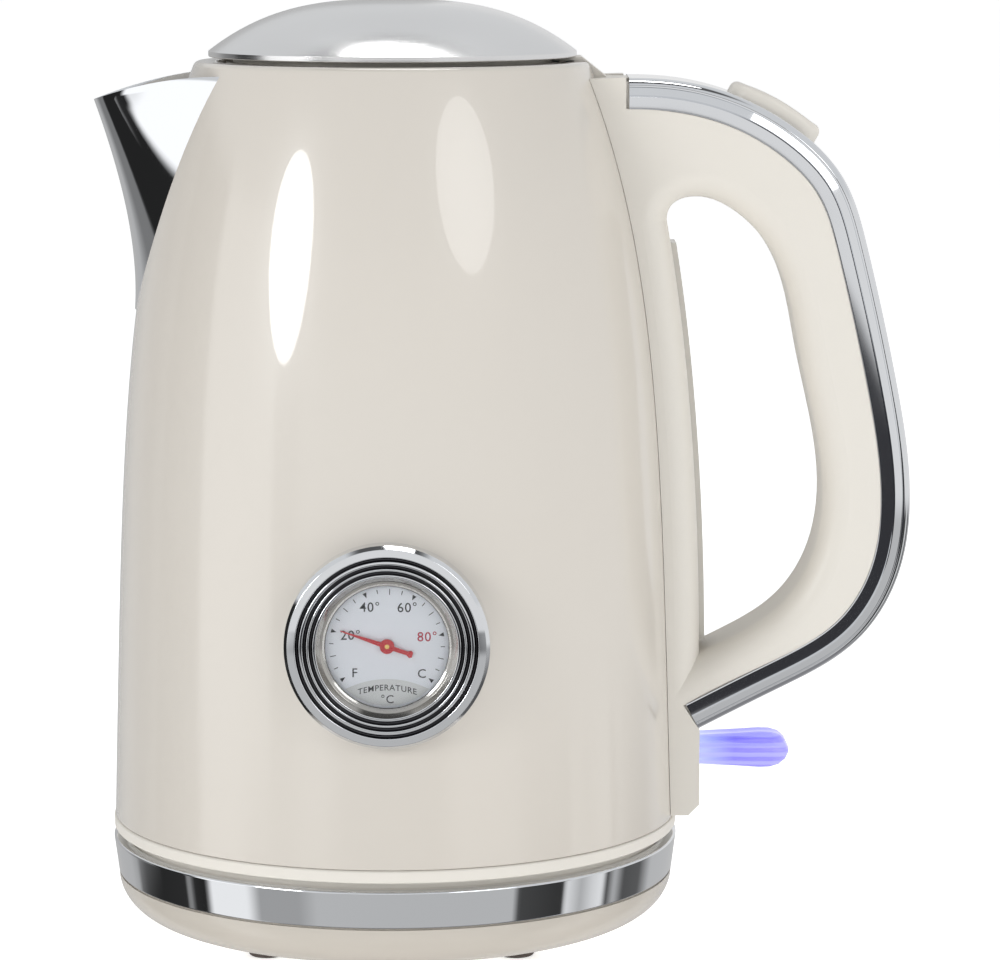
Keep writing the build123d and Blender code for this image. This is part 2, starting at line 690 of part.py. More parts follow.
# places of the latch and button inside the handle
button_x = BODY_R + 25.7
button_z = BODY_TOP - 14.0
tilt = math.radians(BUTTON_TILT)
button_plane = Plane(
    origin=(button_x, 0, button_z), x_dir=(0, 1, 0), z_dir=(math.sin(tilt), 0, math.cos(tilt))
)
bar_z = BODY_TOP - 29.4
bar_t = 3.0
bar_half_w = 4.0
bar_end = button_x - 1.0
ramp_start = button_x - 8.5
ramp_rise = 0.606      # so that the button's stem keeps its gap as both slide
ramp_top = bar_z + bar_t + (bar_end - ramp_start) * ramp_rise
catch_x = HINGE_X + HINGE_HUB_R + RUN
catch_z = HINGE_Z - 2.2
bar_outline = [
    (catch_x, catch_z),
    (catch_x + 2.2, catch_z),
    (catch_x + 5.6, bar_z + bar_t),
    (ramp_start, bar_z + bar_t),
    (bar_end - 1.0, ramp_top - ramp_rise),
    (bar_end, ramp_top - 1.2),
    (bar_end, bar_z),
    (catch_x + 2.4, bar_z),
]
channel_outline = [
    (catch_x - 1.2, catch_z + 0.6),
    (catch_x + 6.0, catch_z + 0.6),
    (catch_x + 9.4, bar_z + bar_t + 0.5),
    (ramp_start, bar_z + bar_t + 0.8),
    (bar_end, ramp_top + 0.8),
    (bar_end + 4.0, ramp_top + 0.8),
    (bar_end + 4.0, bar_z - 0.5),
    (catch_x + 1.8, bar_z - 0.5),
]
spring_x0 = bar_end + 0.2
spring_x1 = bar_end + 9.0

hinge_cut = block(
    HINGE_X - 12.0, HINGE_X + HINGE_HUB_R + 0.6,
    -HINGE_HALF_W - 0.3, HINGE_HALF_W + 0.3,
    notch_bottom, BODY_TOP + 10.0,
)
spring_half_w = HINGE_HALF_W + 4.0
pin_half_w = HINGE_HALF_W + 6.0
lever_cut = block(
    BODY_R - 12.0, column_x + 1.0,
    -LEVER_HALF_W - 0.6, LEVER_HALF_W + 0.6,
    LEVER_Z - LEVER_T / 2 - 0.9, LEVER_Z + LEVER_T / 2 + 4.4,
)
bracket_low = BODY_TOP - 24.0
bracket_high = BODY_TOP - 16.5

with BuildPart() as handle_bracket:
    for side in (-1, 1):
        add(block(TOP_R, TOP_R + 17.0, side * 9.5 - 2.5, side * 9.5 + 2.5, bracket_low, bracket_high))
    add(BODY_CLEAR, mode=Mode.SUBTRACT)
handle_bracket.part.label = "handle_bracket"
export_step(handle_bracket.part, "parts/handle_bracket.step")

trim_half_w = GRIP_HALF_W + TRIM_PROUD
with BuildPart() as handle_trim:
    add(band(0.0, TRIM_BAND, trim_half_w, trim_round))
    add(band(TRIM_T, TRIM_BAND + 2.0, trim_half_w - TRIM_T, trim_round - TRIM_T), mode=Mode.SUBTRACT)
    with BuildSketch(button_plane):
        RectangleRounded(2.0 * BUTTON_HALF_W + 0.8, BUTTON_LEN + 0.8, 6.4)
    extrude(amount=20.0, both=True, mode=Mode.SUBTRACT)
    add(hinge_cut, mode=Mode.SUBTRACT)
handle_trim.part.label = "handle_trim"
export_step(handle_trim.part, "parts/handle_trim.step")

with BuildPart() as handle_grip:
    with BuildSketch(Plane.XZ):
        with BuildLine():
            add(handle_outer)
            Polyline(
                handle_outer @ 1,
                (column_x, column_foot + 3.0),
                (column_x - 3.0, column_foot),
                (BODY_R - 10.0, column_foot),
                (TOP_R - 6.0, BODY_TOP - 30.0),
                (TOP_R - 6.0, BODY_TOP - 4.4),
                handle_outer @ 0,
            )
        make_face()
    extrude(amount=GRIP_HALF_W, both=True)
    with BuildSketch(Plane.XZ):
        with BuildLine():
            back_line = Spline(*column_line(0.0))
            Spline(
                back_line @ 1,
                (BODY_R - 1.4, BODY_TOP - 38.0),
                (BODY_R + 3.3, BODY_TOP - 36.3),
                (BODY_R + 15.6, BODY_TOP - 40.6),
                (BODY_R + 25.2, BODY_TOP - 51.5),
                (BODY_R + 32.8, BODY_TOP - 78.9),
                (BODY_R + 39.3, BODY_Z + 87.1),
                (BODY_R + 35.4, BODY_Z + 69.0),
                (BODY_R + 27.5, BODY_Z + 57.8),
                (BODY_R + 14.9, BODY_Z + 49.4),
                back_line @ 0,
            )
        make_face()
    extrude(amount=GRIP_HALF_W + 2.0, both=True, mode=Mode.SUBTRACT)
    curved = handle_grip.edges().filter_by(GeomType.BSPLINE)
    side_edges = curved.filter_by(lambda e: abs(e.center().Y) > GRIP_HALF_W - 0.1)
    fillet(side_edges.sort_by(SortBy.LENGTH)[:-2], radius=grip_round)
    # the rebate that the trim fills, with the core that it wraps
    add(band(-3.0, TRIM_BAND + FIT, GRIP_HALF_W + 3.0, 0.0), mode=Mode.SUBTRACT)
    core_half_w = trim_half_w - TRIM_T - FIT
    add(band(TRIM_T + FIT, TRIM_BAND + 0.2, core_half_w, trim_round - TRIM_T - FIT))
    add(BODY_CLEAR, mode=Mode.SUBTRACT)
    # pockets for the hinge, latch, button, window, lever, bracket and screws
    add(hinge_cut, mode=Mode.SUBTRACT)
    add(cylinder_y(-spring_half_w, spring_half_w, HINGE_X, HINGE_Z, 3.2), mode=Mode.SUBTRACT)
    pin_bore = cylinder_y(-pin_half_w, pin_half_w, HINGE_X, HINGE_Z, HINGE_PIN_R + FIT / 2)
    add(pin_bore, mode=Mode.SUBTRACT)
    add(upright_prism(channel_outline, bar_half_w + 0.4), mode=Mode.SUBTRACT)
    spring_bore = cylinder_x(bar_end, spring_x1, 0.0, bar_z + 1.6, 2.4)
    add(spring_bore, mode=Mode.SUBTRACT)
    with BuildSketch(button_plane.offset(-7.0)):
        RectangleRounded(2.0 * BUTTON_HALF_W + 0.8, BUTTON_LEN + 0.8, 6.4)
    extrude(amount=30.0, mode=Mode.SUBTRACT)
    with BuildSketch(button_plane.offset(-18.0)):
        Circle(2.5)
    extrude(amount=15.0, mode=Mode.SUBTRACT)
    add(window_prism(WINDOW_HALF_W + FIT, FIT), mode=Mode.SUBTRACT)
    add(lever_cut, mode=Mode.SUBTRACT)
    for side in (-1, 1):
        bracket_y = side * 9.5
        bracket_pocket = block(
            TOP_R, TOP_R + 17.0 + FIT,
            bracket_y - 2.5 - FIT, bracket_y + 2.5 + FIT,
            bracket_low - FIT, bracket_high + FIT,
        )
        add(bracket_pocket, mode=Mode.SUBTRACT)
        screw_y = side * handle_screw_y
        screw_bore = cylinder_x(BODY_R - 6.0, BODY_R + 4.0, screw_y, handle_screw_z, 1.4)
        add(screw_bore, mode=Mode.SUBTRACT)
handle_grip.part.label = "handle_grip"
export_step(handle_grip.part, "parts/handle_grip.step")

with BuildPart() as handle_screws:
    for side in (-1, 1):
        screw_y = side * handle_screw_y
        seat_x = math.sqrt(wall_radius(handle_screw_z) ** 2 - handle_screw_y ** 2) - WALL - 1.0
        add(cylinder_x(seat_x - 1.6, seat_x, screw_y, handle_screw_z, 2.6))
        add(cylinder_x(seat_x, BODY_R + 3.4, screw_y, handle_screw_z, 1.35))
handle_screws.part.label = "handle_screws"
export_step(handle_screws.part, "parts/handle_screws.step")

# ---- water window ---------------------------------------------------------------------------
gasket_t = 0.7
window_seat = body_solid(-FIT - gasket_t, BODY_Z, BODY_TOP)
with BuildPart() as level_window:
    add(window_prism(WINDOW_HALF_W, 0.0))
    add(window_seat, mode=Mode.SUBTRACT)
level_window.part.label = "level_window"
export_step(level_window.part, "parts/level_window.step")

with BuildPart() as window_gasket:
    add(window_prism(WINDOW_HALF_W, 0.0))
    add(body_solid(-gasket_t, BODY_Z, BODY_TOP), mode=Mode.INTERSECT)
    add(BODY_CLEAR, mode=Mode.SUBTRACT)
    with BuildSketch(Plane.YZ):
        with Locations((0.0, (window_top + window_bottom) / 2)):
            RectangleRounded(8.0, window_slot_h, 3.9)
    extrude(amount=BODY_R + 5.0, mode=Mode.SUBTRACT)
window_gasket.part.label = "window_gasket"
export_step(window_gasket.part, "parts/window_gasket.step")

# ---- lid ------------------------------------------------------------------------------------
dome_foot = LID_Z + LID_EDGE
DOME_POWER = 2.8


def dome_height(radius):
    """Height of the lid's outer face at a radius."""
    return dome_foot + LID_DOME_H * (1.0 - (radius / LID_R) ** DOME_POWER)


dome_side = [(LID_R * i / 9, dome_height(LID_R * i / 9)) for i in range(10)]
under_r = LID_R - LID_T
under_side = [(under_r * i / 9, dome_height(LID_R * i / 9) - LID_T) for i in range(10)]
with BuildPart() as lid_dome:
    with BuildSketch(Plane.XZ):
        with BuildLine():
            Spline(*dome_side, tangents=((1, 0), (0.12, -1)))
            Polyline((LID_R, dome_foot), (LID_R, LID_Z), (under_r, LID_Z), under_side[-1])
            Spline(*under_side, tangents=((1, 0), (0.12, -1)))
            Line((0, under_side[0][1]), (0, dome_side[0][1]))
        make_face()
    revolve(axis=Axis.Z)
lid_dome.part.label = "lid_dome"
export_step(lid_dome.part, "parts/lid_dome.step")

liner_r = MOUTH_R - 4.0
liner_foot = BODY_TOP - LINER_DEPTH
liner_wall = 1.5
flange_low = LID_Z + 0.1
flange_r = under_r - 0.5
with BuildPart() as lid_liner:
    with BuildSketch(Plane.XZ):
        with BuildLine():
            Polyline(
                (0.0, liner_foot),
                (liner_r - 2.2, liner_foot),
                (liner_r, BODY_TOP - 0.5),
                (liner_r, flange_low),
                (flange_r, flange_low),
                (flange_r, flange_low + 1.1),
                (liner_r - liner_wall, flange_low + 1.1),
                (liner_r - 2.2 - liner_wall, liner_foot + liner_wall),
                (0.0, liner_foot + liner_wall),
                close=True,
            )
        make_face()
    revolve(axis=Axis.Z)
    fillet(lid_liner.edges().group_by(Axis.Z)[0], radius=1.0)
    for side in (-1, 1):
        add(cylinder_z(flange_low - 1.0, flange_low + 3.0, liner_r + 2.2, side * 5.0, 0.95), mode=Mode.SUBTRACT)
lid_liner.part.label = "lid_liner"
export_step(lid_liner.part, "parts/lid_liner.step")

with BuildPart() as lid_seal:
    with BuildSketch(Plane.XY.offset(collar_top + RUN)):
        Circle(liner_r + 1.7)
        Circle(liner_r + FIT, mode=Mode.SUBTRACT)
    extrude(amount=1.5)
lid_seal.part.label = "lid_seal"
export_step(lid_seal.part, "parts/lid_seal.step")

arm_top = flange_low - FIT
arm_t = 0.9
hub_flat = BODY_TOP - 4.4
with BuildPart() as lid_arm:
    arm_outline = [
        (liner_r + 0.3, arm_top - arm_t),
        (TOP_R - 4.6, arm_top - arm_t),
        (HINGE_X - 4.4, HINGE_Z + 1.0),
        (HINGE_X, HINGE_Z),
        (HINGE_X - 1.0, hub_flat),
        (TOP_R - 2.4, arm_top),
        (liner_r + 0.3, arm_top),
    ]
    add(upright_prism(arm_outline, HINGE_HALF_W))
    hub = cylinder_y(-HINGE_HALF_W, HINGE_HALF_W, HINGE_X, HINGE_Z, HINGE_HUB_R)
    hub_keep = block(HINGE_X - 20.0, HINGE_X + 20.0, -20.0, 20.0, HINGE_Z - 20.0, hub_flat)
    add(hub & hub_keep)
    hinge_bore = cylinder_y(-20.0, 20.0, HINGE_X, HINGE_Z, HINGE_PIN_R + SHAFT_FIT)
    add(hinge_bore, mode=Mode.SUBTRACT)
    for side in (-1, 1):
        add(cylinder_z(arm_top - 3.0, arm_top + 1.0, liner_r + 2.2, side * 5.0, 0.95), mode=Mode.SUBTRACT)
lid_arm.part.label = "lid_arm"
export_step(lid_arm.part, "parts/lid_arm.step")

with BuildPart() as lid_screws:
    for side in (-1, 1):
        add(cylinder_z(arm_top - 0.8, flange_low + 1.1, liner_r + 2.2, side * 5.0, 0.9))
        add(cylinder_z(flange_low + 1.1, flange_low + 1.6, liner_r + 2.2, side * 5.0, 1.8))
lid_screws.part.label = "lid_screws"
export_step(lid_screws.part, "parts/lid_screws.step")

with BuildPart() as lid_hinge_pin:
    add(cylinder_y(-pin_half_w, pin_half_w, HINGE_X, HINGE_Z, HINGE_PIN_R))
lid_hinge_pin.part.label = "lid_hinge_pin"
export_step(lid_hinge_pin.part, "parts/lid_hinge_pin.step")

with BuildPart() as lid_springs:
    for side in (-1, 1):
        with BuildSketch(Plane.XZ.offset(-side * (HINGE_HALF_W + 0.6))):
            with Locations((HINGE_X, HINGE_Z)):
                Circle(2.8)
                Circle(1.8, mode=Mode.SUBTRACT)
        extrude(amount=-side * 3.0)
lid_springs.part.label = "lid_springs"
export_step(lid_springs.part, "parts/lid_springs.step")

# ---- lid button and latch -------------------------------------------------------------------
button_axis = Axis(button_plane.origin, button_plane.z_dir)
with BuildPart() as lid_button:
    with BuildSketch(button_plane.offset(-3.6)):
        RectangleRounded(2.0 * BUTTON_HALF_W, BUTTON_LEN, 6.0)
    extrude(amount=3.6 + BUTTON_PROUD)
    fillet(lid_button.edges().group_by(button_axis)[-1], radius=1.6)
    with BuildSketch(button_plane.offset(-8.4)):
        Circle(2.0)
    extrude(amount=5.0)
    fillet(lid_button.edges().group_by(button_axis)[0], radius=1.2)
lid_button.part.label = "lid_button"
export_step(lid_button.part, "parts/lid_button.step")

with BuildPart() as latch_bar:
    add(upright_prism(bar_outline, bar_half_w))
latch_bar.part.label = "latch_bar"
export_step(latch_bar.part, "parts/latch_bar.step")

with BuildPart() as latch_spring:
    add(cylinder_x(spring_x0, spring_x1 - 0.2, 0.0, bar_z + 1.6, 2.1))
    add(cylinder_x(spring_x0, spring_x1 - 0.2, 0.0, bar_z + 1.6, 1.5), mode=Mode.SUBTRACT)
latch_spring.part.label = "latch_spring"
export_step(latch_spring.part, "parts/latch_spring.step")

# ---- inside the body ------------------------------------------------------------------------
plate_r = wall_radius(PLATE_Z) - WALL - FIT
steam_dir = math.radians(STEAM_ANGLE)
steam_low_r = plate_r - 7.5
steam_x = steam_low_r * math.cos(steam_dir)
steam_y = steam_low_r * math.sin(steam_dir)
cold_pin_angle = 150.0
with BuildPart() as element_plate:
    with BuildSketch(Plane.XY.offset(PLATE_Z)):
        Circle(plate_r)
        with Locations((steam_x, steam_y)):
            Circle(STEAM_R + FIT, mode=Mode.SUBTRACT)
    extrude(amount=PLATE_T)
element_plate.part.label = "element_plate"
export_step(element_plate.part, "parts/element_plate.step")

with BuildPart() as plate_seal:
    with BuildSketch(Plane.XY.offset(PLATE_Z)):
        Circle(plate_r)
        Circle(plate_r - 3.0, mode=Mode.SUBTRACT)
    extrude(amount=-PLATE_SEAL_H)
plate_seal.part.label = "plate_seal"
export_step(plate_seal.part, "parts/plate_seal.step")

with BuildPart() as heat_spreader:
    with BuildSketch(Plane.XY.offset(PLATE_Z)):
        Circle(SPREADER_R)
    extrude(amount=-SPREADER_T)
heat_spreader.part.label = "heat_spreader"
export_step(heat_spreader.part, "parts/heat_spreader.step")

tube_z = PLATE_Z - SPREADER_T - ELEMENT_TUBE_R
with BuildPart() as heating_element:
    with BuildSketch(Plane.XZ.rotated((0, 0, -cold_pin_angle))):
        with Locations((ELEMENT_R, tube_z)):
            Circle(ELEMENT_TUBE_R)
    revolve(axis=Axis.Z, revolution_arc=2.0 * cold_pin_angle)
    for side in (-1, 1):
        pin_dir = math.radians(side * cold_pin_angle)
        pin_x, pin_y = ELEMENT_R * math.cos(pin_dir), ELEMENT_R * math.sin(pin_dir)
        add(cylinder_z(tube_z - 8.0, tube_z, pin_x, pin_y, 1.4))
heating_element.part.label = "heating_element"
export_step(heating_element.part, "parts/heating_element.step")

control_z = socket_top + 0.8
with BuildPart() as control_unit:
    with BuildSketch(Plane.XY.offset(control_z)):
        Circle(CONTROL_R)
        Rectangle(lever_x - 5.5, 12.0, align=(Align.MIN, Align.CENTER))
    extrude(amount=CONTROL_T)
    ear_foot = control_z + 0.8
    add(block(lever_x - 8.6, lever_x - 5.6, -8.6, 8.6, ear_foot, ear_foot + 3.5))
    for side in (-1, 1):
        add(block(lever_x - 8.6, lever_x + 3.4, side * 7.6 - 1.0, side * 7.6 + 1.0, ear_foot, LEVER_Z + 3.4))
    add(cylinder_y(-12.0, 12.0, lever_x, LEVER_Z, LEVER_PIN_R), mode=Mode.SUBTRACT)
control_unit.part.label = "control_unit"
export_step(control_unit.part, "parts/control_unit.step")

with BuildPart() as control_bimetals:
    with BuildSketch(Plane.XY.offset(control_z + CONTROL_T)):
        with Locations((-12.0, 0.0), (12.0, 0.0)):
            Circle(8.5)
    extrude(amount=0.5)
control_bimetals.part.label = "control_bimetals"
export_step(control_bimetals.part, "parts/control_bimetals.step")

steam_plane = Plane(
    origin=(0, 0, 0), x_dir=(math.cos(steam_dir), math.sin(steam_dir), 0),
    z_dir=(math.sin(steam_dir), -math.cos(steam_dir), 0),
)
steam_top = BODY_TOP - 20.0
with BuildPart() as steam_tube:
    with BuildLine(steam_plane):
        route = FilletPolyline(
            (wall_radius(steam_top) - 9.0, steam_top),
            (wall_radius(BODY_TOP - 60.0) - 6.5, BODY_TOP - 60.0),
            (steam_low_r, BODY_Z + 0.45 * BODY_H),
            (steam_low_r, PLATE_Z - 7.0),
            radius=40.0,
        )
    with BuildSketch(Plane(origin=route @ 0, z_dir=route % 0)):
        Circle(STEAM_R)
        Circle(STEAM_R - 0.8, mode=Mode.SUBTRACT)
    sweep(path=route)
steam_tube.part.label = "steam_tube"
export_step(steam_tube.part, "parts/steam_tube.step")

# ---- switch ---------------------------------------------------------------------------------
tip_x_lever = BODY_R + LEVER_REACH
with BuildPart() as switch_lever:
    with BuildSketch(Plane.XZ):
        with BuildLine():
            Polyline(
                (lever_x - 3.6, LEVER_Z + 3.2),
                (lever_x - 3.6, LEVER_Z - 3.2),
                (column_x - 2.0, LEVER_Z - LEVER_T / 2 + 0.3),
                (tip_x_lever - 7.5, LEVER_Z - LEVER_T / 2 - 0.8),
            )
            ThreePointArc(
                (tip_x_lever - 7.5, LEVER_Z - LEVER_T / 2 - 0.8),
                (tip_x_lever, LEVER_Z),
                (tip_x_lever - 7.5, LEVER_Z + LEVER_T / 2 + 0.8),
            )
            Polyline(
                (tip_x_lever - 7.5, LEVER_Z + LEVER_T / 2 + 0.8),
                (column_x - 2.0, LEVER_Z + LEVER_T / 2 - 0.3),
                (lever_x - 3.6, LEVER_Z + 3.2),
            )
        make_face()
    extrude(amount=LEVER_HALF_W, both=True)
    with BuildSketch(Plane.XY.offset(LEVER_Z - 12.0)):
        with Locations(((tip_x_lever + lever_x - 3.6) / 2, 0.0)):
            RectangleRounded(tip_x_lever - lever_x + 3.6, 2.0 * LEVER_HALF_W, 2.0)
    extrude(amount=24.0, mode=Mode.INTERSECT)
    neck_x = (BODY_R - 13.0 + column_x - 1.2) / 2
    neck_l = column_x - 1.2 - (BODY_R - 13.0)
    for side in (-1, 1):
        neck_side = Pos(neck_x, side * (6.2 + 2.0), LEVER_Z) * Box(neck_l, 4.0, 20.0, mode=Mode.PRIVATE)
        add(neck_side, mode=Mode.SUBTRACT)
    add(cylinder_y(-12.0, 12.0, lever_x, LEVER_Z, LEVER_PIN_R + SHAFT_FIT), mode=Mode.SUBTRACT)
switch_lever.part.label = "switch_lever"
export_step(switch_lever.part, "parts/switch_lever.step")

with BuildPart() as switch_pivot_pin:
    add(cylinder_y(-8.6, 8.6, lever_x, LEVER_Z, LEVER_PIN_R))
switch_pivot_pin.part.label = "switch_pivot_pin"
export_step(switch_pivot_pin.part, "parts/switch_pivot_pin.step")

board_x = lever_x - 1.0
board_z = ear_foot - 2.0
with BuildPart() as led_board:
    add(block(board_x - 4.0, board_x + 4.5, -5.5, 5.5, board_z, board_z + 1.2))
led_board.part.label = "led_board"
export_step(led_board.part, "parts/led_board.step")

with BuildPart() as indicator_led:
    add(cylinder_z(board_z + 1.2, board_z + 3.0, board_x + 1.0, 0.0, 1.5))
    fillet(indicator_led.edges().group_by(Axis.Z)[-1], radius=1.0)
indicator_led.part.label = "indicator_led"
export_step(indicator_led.part, "parts/indicator_led.step")

# ---- thermometer ----------------------------------------------------------------------------
# depths are measured towards the viewer from the body's wall at the gauge's height
gauge_y = -wall_radius(GAUGE_Z)


def gauge_ring_solid(profile):
    """A ring about the gauge's axis from (radius, depth in front of the wall) corners."""
    with BuildPart(mode=Mode.PRIVATE) as ring:
        with BuildSketch(Plane.XY.offset(GAUGE_Z)):
            with BuildLine():
                Polyline(*[(radius, gauge_y - depth) for radius, depth in profile], close=True)
            make_face()
        revolve(axis=Axis((0, 0, GAUGE_Z), (0, 1, 0)))
    return ring.part


glass_front = BEZEL_PROUD - 2.0
glass_t = 0.8
needle_depth = glass_front - glass_t - 0.5
dial_front = 1.5
case_in_r = GAUGE_R - 0.7
with BuildPart() as gauge_bezel:
    add(
        gauge_ring_solid([
            (GAUGE_R + FIT, -6.0),
            (BEZEL_R, -6.0),
            (BEZEL_R, BEZEL_PROUD - 1.6),
            (BEZEL_R - 0.9, BEZEL_PROUD - 0.3),
            (BEZEL_R - 2.4, BEZEL_PROUD),
            (BEZEL_R - 3.2, BEZEL_PROUD - 0.9),
            (BEZEL_R - 4.0, BEZEL_PROUD),
            (BEZEL_R - 5.2, BEZEL_PROUD - 0.1),
            (BEZEL_R - 6.2, BEZEL_PROUD - 1.0),
            (BEZEL_R - 6.8, BEZEL_PROUD - 0.2),
            (BEZEL_R - 7.6, BEZEL_PROUD - 0.3),
            (GAUGE_R + FIT, BEZEL_PROUD - 0.8),
        ])
    )
    add(BODY_CLEAR, mode=Mode.SUBTRACT)
gauge_bezel.part.label = "gauge_bezel"
export_step(gauge_bezel.part, "parts/gauge_bezel.step")

with BuildPart() as gauge_ring:
    add(
        gauge_ring_solid([
            (GAUGE_R, glass_front),
            (GAUGE_R, BEZEL_PROUD - 0.4),
            (GAUGE_R - 0.5, BEZEL_PROUD - 0.3),
            (DIAL_R - 0.9, glass_front + 0.2),
            (DIAL_R - 0.9, glass_front),
        ])
    )
gauge_ring.part.label = "gauge_ring"
export_step(gauge_ring.part, "parts/gauge_ring.step")

with BuildPart() as gauge_lens:
    add(cylinder_y(gauge_y - glass_front, gauge_y - glass_front + glass_t, 0.0, GAUGE_Z, case_in_r - FIT))
gauge_lens.part.label = "gauge_lens"
export_step(gauge_lens.part, "parts/gauge_lens.step")

spindle_r = 0.6
with BuildPart() as gauge_dial:
    add(cylinder_y(gauge_y - dial_front, gauge_y - dial_front + 0.5, 0.0, GAUGE_Z, case_in_r - FIT))
    add(cylinder_y(gauge_y - 20.0, gauge_y + 20.0, 0.0, GAUGE_Z, spindle_r + 0.4), mode=Mode.SUBTRACT)
gauge_dial.part.label = "gauge_dial"
export_step(gauge_dial.part, "parts/gauge_dial.step")

stem_back = 7.0
with BuildPart() as gauge_case:
    add(
        gauge_ring_solid([
            (case_in_r, glass_front - FIT),
            (GAUGE_R, glass_front - FIT),
            (GAUGE_R, 0.1),
            (STEM_R, 0.1),
            (STEM_R, -stem_back),
            (PROBE_R + FIT, -stem_back),
            (PROBE_R + FIT, 0.9),
            (case_in_r, 0.9),
        ])
    )
    wall_below = block(-GAUGE_R, GAUGE_R, gauge_y - 3.0, gauge_y + 3.0, GAUGE_Z - 30.0, GAUGE_Z - STEM_R)
    add(BODY_CLEAR & wall_below, mode=Mode.SUBTRACT)
gauge_case.part.label = "gauge_case"
export_step(gauge_case.part, "parts/gauge_case.step")

probe_end = gauge_y + stem_back + PROBE_LEN
with BuildPart() as gauge_probe:
    add(cylinder_y(gauge_y - 0.3, probe_end, 0.0, GAUGE_Z, PROBE_R))
    add(cylinder_y(gauge_y - 3.0, probe_end - 0.8, 0.0, GAUGE_Z, PROBE_R - 0.6), mode=Mode.SUBTRACT)
gauge_probe.part.label = "gauge_probe"
export_step(gauge_probe.part, "parts/gauge_probe.step")

with BuildPart() as gauge_coil:
    coil_x = cylinder_y(gauge_y + 6.0, probe_end - 1.5, 0.0, GAUGE_Z, PROBE_R - 0.9)
    add(coil_x)
    add(cylinder_y(gauge_y + 5.0, probe_end, 0.0, GAUGE_Z, PROBE_R - 1.5), mode=Mode.SUBTRACT)
gauge_coil.part.label = "gauge_coil"
export_step(gauge_coil.part, "parts/gauge_coil.step")

gasket_y = gauge_y + WALL + 0.7
with BuildPart() as gauge_gasket:
    add(cylinder_y(gasket_y, gasket_y + 1.2, 0.0, GAUGE_Z, 8.0))
    add(cylinder_y(gasket_y - 5.0, gasket_y + 5.0, 0.0, GAUGE_Z, STEM_R + FIT), mode=Mode.SUBTRACT)
gauge_gasket.part.label = "gauge_gasket"
export_step(gauge_gasket.part, "parts/gauge_gasket.step")

with BuildPart() as gauge_nut:
    with BuildSketch(Plane.XZ.offset(-(gasket_y + 1.2))):
        with Locations((0.0, GAUGE_Z)):
            RegularPolygon(7.0, 6)
            Circle(STEM_R + FIT, mode=Mode.SUBTRACT)
    extrude(amount=-3.0)
gauge_nut.part.label = "gauge_nut"
export_step(gauge_nut.part, "parts/gauge_nut.step")

needle_dir = math.radians(NEEDLE_REST)
needle_t = 0.35
needle_plane = Plane(
    origin=(0, gauge_y - needle_depth + needle_t, GAUGE_Z),
    x_dir=(math.cos(needle_dir), 0, math.sin(needle_dir)),
    z_dir=(0, -1, 0),
)
with BuildPart() as gauge_needle:
    with BuildSketch(needle_plane):
        with BuildLine():
            Polyline(
                (NEEDLE_LEN, 0.12),
                (NEEDLE_LEN, -0.12),
                (1.0, -0.65),
                (-NEEDLE_TAIL + 1.2, -0.5),
                (-NEEDLE_TAIL + 0.3, -0.95),
                (-NEEDLE_TAIL, -0.6),
                (-NEEDLE_TAIL, 0.6),
                (-NEEDLE_TAIL + 0.3, 0.95),
                (-NEEDLE_TAIL + 1.2, 0.5),
                (1.0, 0.65),
                close=True,
            )
        make_face()
        Circle(1.9)
    extrude(amount=needle_t)
    add(cylinder_y(gauge_y - 10.0, gauge_y + 10.0, 0.0, GAUGE_Z, spindle_r), mode=Mode.SUBTRACT)
gauge_needle.part.label = "gauge_needle"
export_step(gauge_needle.part, "parts/gauge_needle.step")

with BuildPart() as gauge_spindle:
    add(cylinder_y(gauge_y - needle_depth - 0.1, probe_end - 2.0, 0.0, GAUGE_Z, spindle_r))
gauge_spindle.part.label = "gauge_spindle"
export_step(gauge_spindle.part, "parts/gauge_spindle.step")
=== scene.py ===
# %% [markdown]
# # An electric kettle on its power base
# The CAD frame is loaded first. Each new piece is modelled in metres in that frame, takes its
# place from the CAD boxes, and rides on a CAD body, so that it moves as the real piece does.

# %% Load the frame
import bmesh
import bpy
import json
from math import cos, hypot, pi, radians, sin, sqrt, tan
from mathutils import Matrix, Vector


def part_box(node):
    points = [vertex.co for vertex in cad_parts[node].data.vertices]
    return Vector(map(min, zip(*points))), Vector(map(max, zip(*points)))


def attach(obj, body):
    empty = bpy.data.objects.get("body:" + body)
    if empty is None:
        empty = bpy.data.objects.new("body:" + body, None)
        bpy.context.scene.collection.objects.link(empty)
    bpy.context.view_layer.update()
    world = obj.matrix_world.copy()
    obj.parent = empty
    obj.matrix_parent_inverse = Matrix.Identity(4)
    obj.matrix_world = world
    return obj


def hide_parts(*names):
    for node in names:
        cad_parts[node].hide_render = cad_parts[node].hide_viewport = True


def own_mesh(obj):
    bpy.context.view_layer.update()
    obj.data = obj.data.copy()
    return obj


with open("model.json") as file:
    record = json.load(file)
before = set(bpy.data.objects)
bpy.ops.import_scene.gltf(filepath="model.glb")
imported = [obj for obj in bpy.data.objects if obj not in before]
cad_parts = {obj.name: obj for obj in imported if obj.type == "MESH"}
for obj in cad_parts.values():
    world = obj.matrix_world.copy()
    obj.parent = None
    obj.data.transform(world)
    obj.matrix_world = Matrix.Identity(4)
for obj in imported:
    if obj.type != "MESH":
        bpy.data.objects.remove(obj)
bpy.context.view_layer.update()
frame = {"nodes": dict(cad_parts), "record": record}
MM = 0.001

# %% [markdown]
# ## Camera
# The kettle is looked at from the front with a long lens, a little from above. It is made
# first, so that every piece can be judged from the same place.

